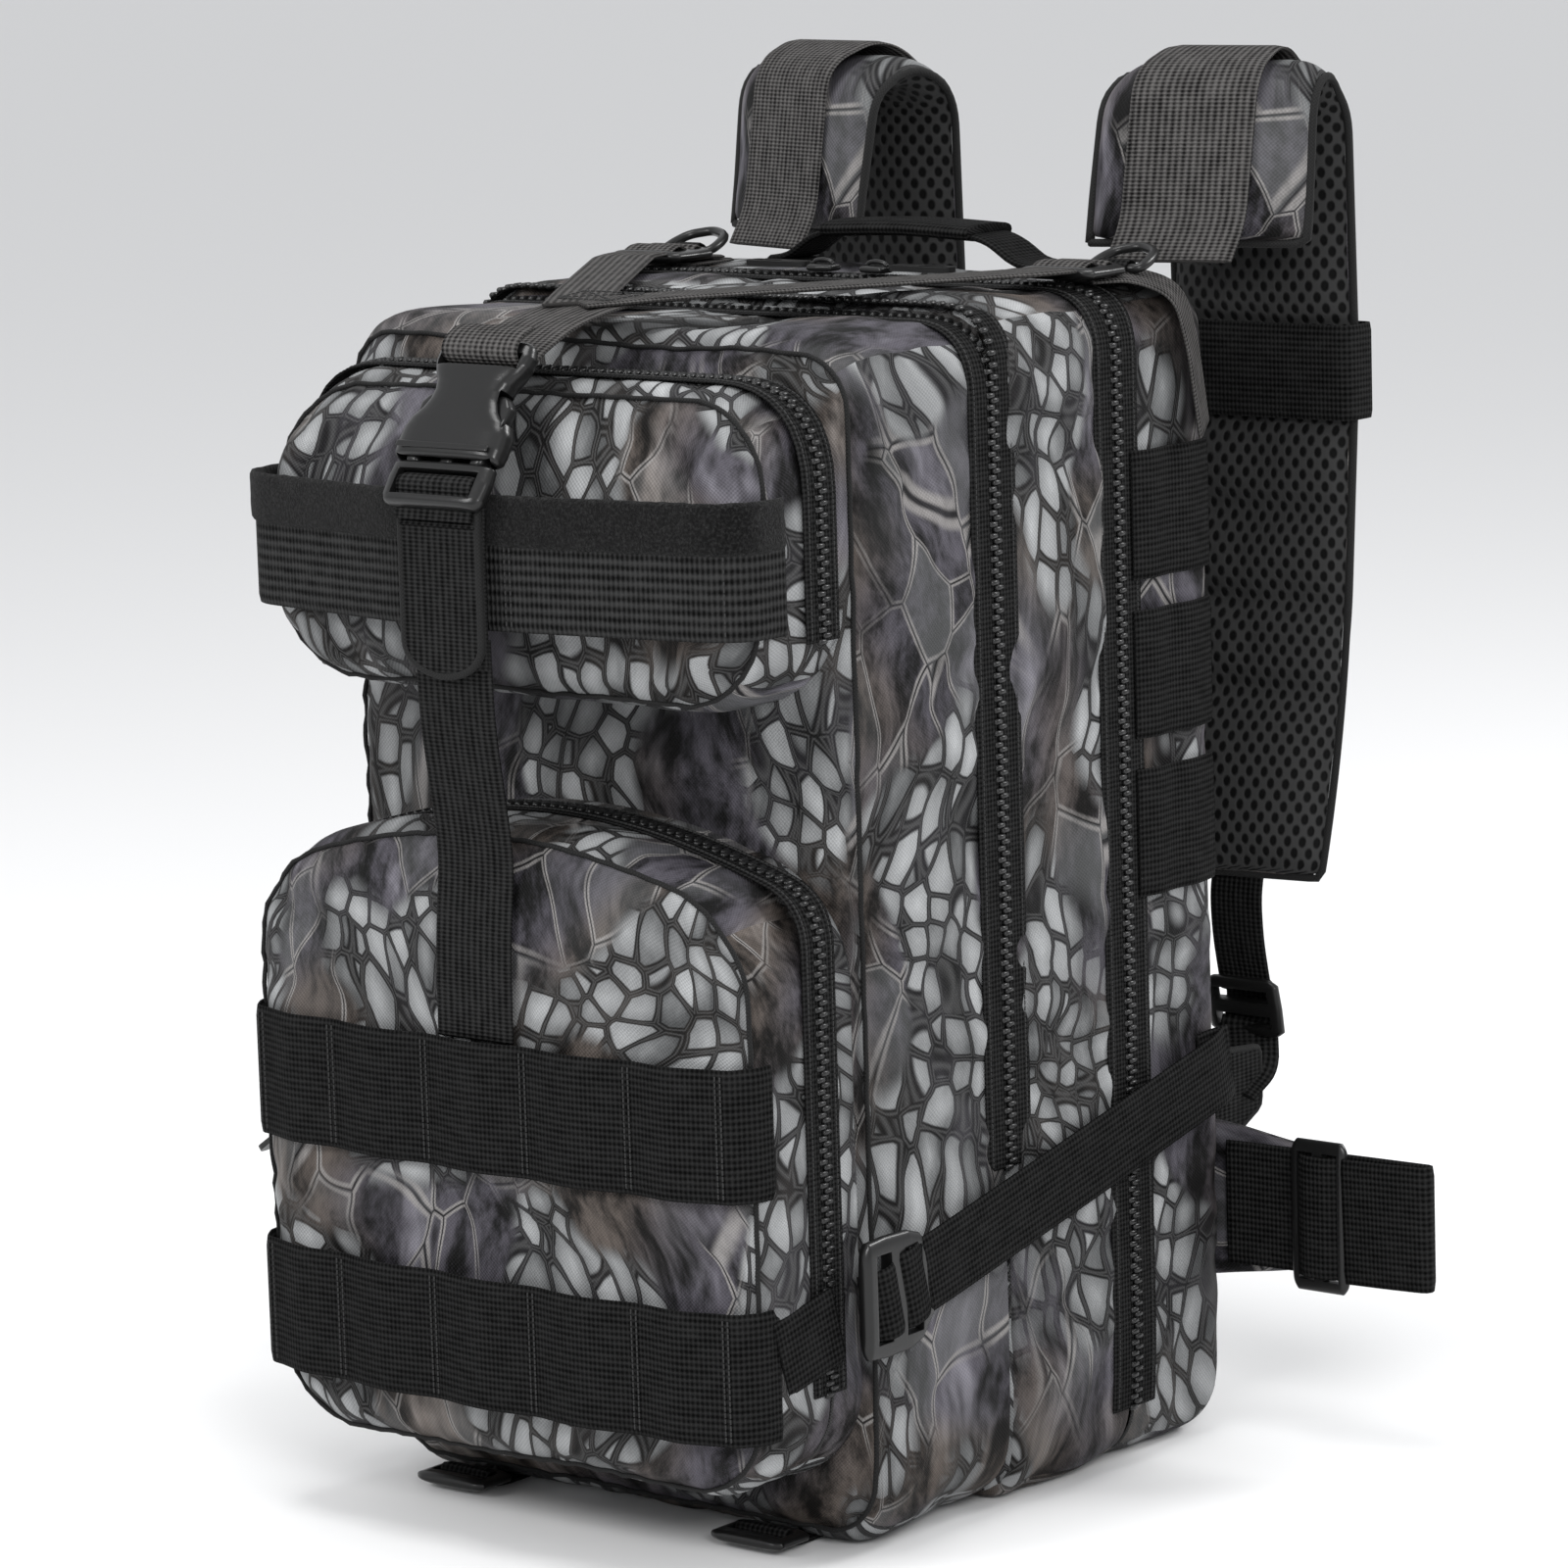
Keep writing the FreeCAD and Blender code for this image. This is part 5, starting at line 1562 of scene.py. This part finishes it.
def crowned_loft(stations, end_round, sides, square):
    """The points and faces of a moulding along its own y, with softened ends."""
    stations = [tuple(station) + (0.0,) * (4 - len(station)) for station in stations]
    ys = np.array([station[0] for station in stations])
    near_end = np.array([0.25, 0.6, 1.1, 1.7])
    rows = np.concatenate([np.arange(ys[0], ys[-1], 1.2), ys, ys[0] + near_end, ys[-1] - near_end])
    rows = [y for y in sorted(set(np.round(rows, 3))) if ys[0] <= y <= ys[-1]]
    points, faces = [], []
    for y in rows:
        half, thick, shift = (np.interp(y, ys, [station[k] for station in stations]) for k in (1, 2, 3))
        near = min(y - ys[0], ys[-1] - y)
        lift = math.sqrt(max(0.0, 1 - max(0.0, 1 - near / min(end_round, (ys[-1] - ys[0]) / 3)) ** 2))
        half -= (1 - lift) * end_round * 0.8
        thick *= 0.45 + 0.55 * lift
        for k in range(sides):
            angle = 2 * math.pi * (k + 0.5) / sides
            c, s = math.cos(angle), math.sin(angle)
            x = shift + math.copysign(abs(c) ** square, c) * half
            points.append((x * MM, y * MM, math.copysign(abs(s) ** 0.75, s) * thick * MM))
    for r in range(len(rows) - 1):
        for k in range(sides):
            a = r * sides + k
            b = r * sides + (k + 1) % sides
            faces.append((a, a + sides, b + sides, b))
    faces.append(tuple(range(sides)))
    faces.append(tuple((len(rows) - 1) * sides + k for k in reversed(range(sides))))
    return points, faces


def moulded(name, stations, cuts, origin, x_dir, y_dir, material=PLASTIC, end_round=2.0, bevel=0.5,
            sides=32, square=0.45):
    """A moulding with a crowned section, lofted along its own y, with slots cut right through.

    stations are (y, half width, half thickness, sideways shift) in millimetres. A cut is a box's corners."""
    points, faces = crowned_loft(stations, end_round, sides, square)
    piece = new_piece(name, points, faces, [material])
    slotted(piece, cuts)
    if bevel:
        soften(piece, bevel, 48)
        settle(piece)
    piece.data.polygons.foreach_set("use_smooth", [True] * len(piece.data.polygons))
    piece.data.set_sharp_from_angle(angle=math.radians(40))
    x_dir = Vector(x_dir).normalized()
    y_dir = Vector(y_dir).normalized()
    axes = np.array([tuple(x_dir), tuple(y_dir), tuple(x_dir.cross(y_dir))])
    move_points(piece, points_of(piece) @ axes + np.array(origin) * MM)
    return piece


RIGHTWARD = (1, 0, 0)
TILT = math.radians(34)
STRAP_UP = Vector((0, math.sin(TILT), math.cos(TILT)))
BUCKLE_AT = (0, -187, 437)
SOCKET_SHAPE = [(-25, 25.2, 5.8), (-20, 25.6, 6.4), (-13, 25.2, 6.5), (-9, 23.4, 6.5), (-5, 19.6, 6.4),
                (-1, 17.4, 6.3), (3, 16.9, 6.2), (7, 18.0, 6.1), (11, 20.6, 6.0), (15, 22.4, 5.7),
                (19, 22.6, 5.2), (23, 21.4, 4.4), (25, 20.0, 3.8)]
SOCKET_MOUTH = ((-23, -30, -4), (23, 4, 4))
SOCKET_SLOT = ((-19.5, 13, -9), (19.5, 19.5, 9))
FRAME_SHAPE = [(-43.5, 22.5, 4.0), (-40, 24.4, 4.4), (-33, 24.8, 4.2), (-27, 24.2, 3.8), (-25.6, 23.0, 3.6)]
FRAME_SLOT = ((-19.5, -40, -9), (19.5, -29.5, 9))
PRONG = [(-27, 3.2, 3.3, 15.2), (-16, 2.6, 3.2, 17.6), (-7, 2.6, 3.1, 19.3), (-2, 3.6, 3.0, 18.4),
         (2.6, 2.6, 2.6, 16.0)]
THROUGH_PLUG = [(-47, -3.5), (-41, -1.2), (-38, 1.5), (-34.2, 3.6), (-30.6, 1.5), (-31.5, -3.0), (-40, -5.4),
                (-48, -6.4)]
THROUGH_SOCKET = [(21.5, -6.5), (16.2, -4.5), (16.0, 2.0), (18.0, 6.2), (22.5, 6.8), (27.5, 4.6), (31, 1.5)]


def in_plug(y, out):
    """A point of the buckle's middle plane: y up the strap and out from the bag, in millimetres."""
    return (0, BUCKLE_AT[1] + y * math.sin(TILT) - out * math.cos(TILT),
            BUCKLE_AT[2] + y * math.cos(TILT) + out * math.sin(TILT))


def on_buckle(name, stations, cuts=(), **style):
    """A moulding in the buckle's own plane."""
    return moulded(name, stations, cuts, BUCKLE_AT, RIGHTWARD, STRAP_UP, **style)


def buckle():
    """The side-release buckle: socket, plug, and the webbing threaded through each."""
    socket = on_buckle("socket", SOCKET_SHAPE, [SOCKET_MOUTH, SOCKET_SLOT], square=0.38)
    lip = moulded("lip", [(-1.2, 22.5, 0.5), (1.2, 22.5, 0.5)], [], in_plug(-21, 6.4), RIGHTWARD, STRAP_UP,
                  end_round=0.6, bevel=0)
    finish(join("buckle_socket", [socket, lip]), "front_flap", "buckle_female", slot="buckle_plastic")
    parts = [
        on_buckle("plug_frame", FRAME_SHAPE, [FRAME_SLOT], square=0.35),
        on_buckle("plug_bar", [(-35.8, 20, 2.0), (-32.6, 20, 2.0)], bevel=0),
        on_buckle("plug_tongue", [(-27, 3.2, 2.2), (2, 2.2, 1.8)], bevel=0),
    ]
    for side in (1, -1):
        prong = [(y, half, thick, side * shift) for y, half, thick, shift in PRONG]
        parts.append(on_buckle("plug_prong", prong, bevel=0, sides=16))
    finish(join("buckle_plug_moulding", parts), "center_buckle", "buckle_male", slot="buckle_plastic")
    for name, line, material, body, slot in (
        ("plug_webbing", THROUGH_PLUG, STRAP_WEB, "center_buckle", "webbing"),
        ("yoke_wrap", THROUGH_SOCKET, GREY_WEB, "front_flap", "grey_webbing"),
    ):
        corners = [in_plug(y, out) for y, out in line]
        finish(strap(name, corners, LEFTWARD, 37, 1.6, material, 3, 1.5), body, slot=slot)


LADDER = [(-12.5, 14.5, 2.0), (-10, 17.8, 2.6), (0, 18.2, 2.5), (10, 17.8, 2.6), (12.5, 14.5, 2.0)]
LADDER_CUTS = [((-13.2, -8.2, -9), (13.2, -2.8, 9)), ((-13.2, 2.8, -9), (13.2, 8.2, 9))]
SIDE_LOCK = [(-21, 19, 2.2), (-18.5, 22.4, 3.0), (-8, 23.2, 2.8), (6, 22.8, 2.6), (13, 20.5, 2.4),
             (21.5, 11.0, 1.8)]
SIDE_LOCK_CUTS = [((-17, -15, -9), (17, -6, 9)), ((-16.5, 2.6, -9), (16.5, 12.6, 9))]
BOTTOM_LOCK = [(-10, 15, 2.0), (-8, 17.6, 2.5), (8, 17.6, 2.5), (10, 15, 2.0)]
BOTTOM_LOCK_CUTS = [((-13.4, -4, -9), (13.4, 4, 9))]
GLIDE = [(-13, 28, 1.9), (-10.5, 30.6, 2.5), (10.5, 30.6, 2.5), (13, 28, 1.9)]
GLIDE_CUTS = [((-25.8, -9.4, -9), (25.8, -2.2, 9)), ((-25.8, 2.2, -9), (25.8, 9.4, 9))]
GLIDE_PLAN = [(186, 101.2), (181, 101.2), (176.5, 98.8), (167.5, 98.8), (163, 101.6), (160, 104.2)]


def locks(side, word):
    """The ladder locks of one side, its strap adjuster and its belt glide."""
    back = (0, 1, 0)
    along_belt = (0, 0, -side)
    for name, shape, cuts, place, x_dir, y_dir, square, body, nodes in (
        ("yoke_lock", LADDER, LADDER_CUTS, (side * TOP_LOCK_X, 46, 468.5), RIGHTWARD, back, 0.45,
         "pack", on_right(side, "yoke_locks")),
        ("side_lock", SIDE_LOCK, SIDE_LOCK_CUTS, (side * 133.6, -118, 104), (0, 0, side), back, 0.35,
         "front_flap", on_right(side, "side_buckles")),
        ("bottom_lock", BOTTOM_LOCK, BOTTOM_LOCK_CUTS, (side * BOTTOM_X, -132, 4.9), RIGHTWARD, back, 0.45,
         "front_flap", on_right(side, "bottom_locks")),
        ("adjuster", LADDER, LADDER_CUTS, (side * SHOULDER_X, 158, 160), RIGHTWARD, (0, -0.21, 0.978), 0.45,
         f"shoulder_{word}", [f"shoulder_adjuster_{word}"]),
        ("belt_triglide", GLIDE, GLIDE_CUTS, (side * 172, 102.4, BELT_Z), along_belt, RIGHTWARD, 0.3,
         f"glide_{word}", [f"belt_glide_{word}"]),
    ):
        lock = moulded(f"{name}_{word}", shape, cuts, place, x_dir, y_dir, square=square)
        finish(lock, body, *nodes, slot="buckle_plastic")
    through = mirror_x(upright(GLIDE_PLAN, BELT_Z), side)
    threaded = strap(f"glide_webbing_{word}", through, along_belt, 49, 1.4, BLACK_WEB, 2.5, 1.5)
    finish(threaded, f"glide_{word}", slot="webbing")


buckle()
for side, word in SIDES:
    locks(side, word)


# ---------------------------------------------------------------- zip sliders and the shown CAD pieces

SLIDER_SHAPE = [(-6, 3.6, 1.3), (-3, 4.0, 1.5), (1, 4.8, 1.5), (5, 5.0, 1.4), (6, 4.4, 1.2)]
BRIDGE_LINE = [(-4.5, 1.0), (-3.6, 2.6), (0, 3.2), (4.4, 2.6), (5.6, 1.0)]


def zip_slider(name, node, origin, along, out):
    """A slider's body: a waisted wedge with a low bridge for the pull."""
    along = Vector(along)
    out = Vector(out)
    side = along.cross(out)
    base = moulded(name, SLIDER_SHAPE, [], origin, side, along, METAL, 1.0, 0.0, 20)
    line = [Vector(origin) + along * forward + out * lift for forward, lift in BRIDGE_LINE]
    bridge = tube("bridge", line, 1.9, METAL, 2, 8, 1.0, tuple(side))
    return finish(join(f"{name}_whole", [base, bridge]), node, node, slot="zip_metal")


def dress(node, material, bevel):
    """Gives a CAD piece its material and softened edges."""
    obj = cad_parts[node]
    obj.data.materials.clear()
    obj.data.materials.append(material)
    if bevel:
        soften(obj, bevel, 38)


PULL_NODES = ("main_pull_right", "main_pull_left", "second_pull", "top_pull", "lower_pull")
SIDE_SLIDERS = (
    ("second", (-131.9, -40, 420)),
    ("top", (-123.9, TOP_ZIP_Y, 362)),
    ("lower", (-124.9, LOWER_ZIP_Y, 156)),
)
for side, word in SIDES:
    on_top = (side * 13, 38, 466.9)
    zip_slider(f"main_slider_body_{word}", f"main_slider_{word}", on_top, (side, 0, 0), UPWARD)
for word, place in SIDE_SLIDERS:
    zip_slider(f"{word}_slider_body", f"{word}_slider", place, (0, 0, -1), LEFTWARD)
for node in PULL_NODES:
    dress(node, METAL, 0.5)
dress("back_stiffener", BOARD, 0)
dress("inner_sleeve", LINING, 0)


# ---------------------------------------------------------------- stage

LAMPS = (
    ("key", (-0.8, -2.3, 1.7), 0.9, 30),
    ("fill", (1.9, -1.6, 1.3), 0.8, 30),
    ("rim", (1.2, 1.7, 1.6), 0.7, 26),
    ("top", (0.1, -0.4, 2.3), 1.0, 22),
)
LAMP_TARGET = Vector((0, 0, 0.24))
FLOOR_REACH = 30
CAMERA_TURN = math.radians(39.415)
CAMERA_RISE = math.radians(9.55)
CAMERA_ROLL = math.radians(-1.762)
CAMERA_TARGET = Vector((-0.0028, -0.0093, 0.268))
CAMERA_DISTANCE = 2.5575
CAMERA_LENS = 149.4


def floor():
    """A pale floor out to the horizon."""
    reach = FLOOR_REACH
    corners = [(-reach, -reach, 0), (reach, -reach, 0), (reach, reach, 0), (-reach, reach, 0)]
    mesh = bpy.data.meshes.new("floor")
    mesh.from_pydata(corners, [], [(0, 1, 2, 3)])
    sh = Shader("floor")
    sh.surface.inputs["Base Color"].default_value = grey(0.8)
    mesh.materials.append(sh.finish(0.9, 0.0, 0.1))
    made = bpy.data.objects.new("floor", mesh)
    bpy.context.scene.collection.objects.link(made)


def lights(scene):
    """A bright even surround and four round soft lamps."""
    world = bpy.data.worlds.new("studio")
    world.use_nodes = True
    background = world.node_tree.nodes["Background"]
    background.inputs["Color"].default_value = (0.97, 0.98, 1.0, 1)
    background.inputs["Strength"].default_value = 0.8
    scene.world = world
    for name, place, size, power in LAMPS:
        light = bpy.data.lights.new(name, "AREA")
        light.shape = "DISK"
        light.size = size
        light.energy = power
        lamp = bpy.data.objects.new(name, light)
        lamp.location = place
        lamp.rotation_euler = (LAMP_TARGET - Vector(place)).to_track_quat("-Z", "Y").to_euler()
        scene.collection.objects.link(lamp)


def photo_camera(scene):
    """The photograph's camera, turned round the bag, raised and rolled a little."""
    data = bpy.data.cameras.new("camera")
    data.sensor_width = 36
    data.lens = CAMERA_LENS
    camera = bpy.data.objects.new("camera", data)
    flat = math.cos(CAMERA_RISE)
    right = Vector((math.cos(CAMERA_TURN), math.sin(CAMERA_TURN), 0))
    back = Vector((math.sin(CAMERA_TURN) * flat, -math.cos(CAMERA_TURN) * flat, math.sin(CAMERA_RISE)))
    up = back.cross(right)
    rolled_right = right * math.cos(CAMERA_ROLL) + up * math.sin(CAMERA_ROLL)
    rolled_up = up * math.cos(CAMERA_ROLL) - right * math.sin(CAMERA_ROLL)
    placed = Matrix((rolled_right, rolled_up, back)).transposed().to_4x4()
    placed.translation = CAMERA_TARGET + back * CAMERA_DISTANCE
    camera.matrix_world = placed
    scene.collection.objects.link(camera)
    scene.camera = camera


def studio():
    """A pale floor, soft light from above and both sides, and the photograph's camera."""
    scene = bpy.context.scene
    scene.view_settings.view_transform = "Standard"
    floor()
    lights(scene)
    photo_camera(scene)


studio()
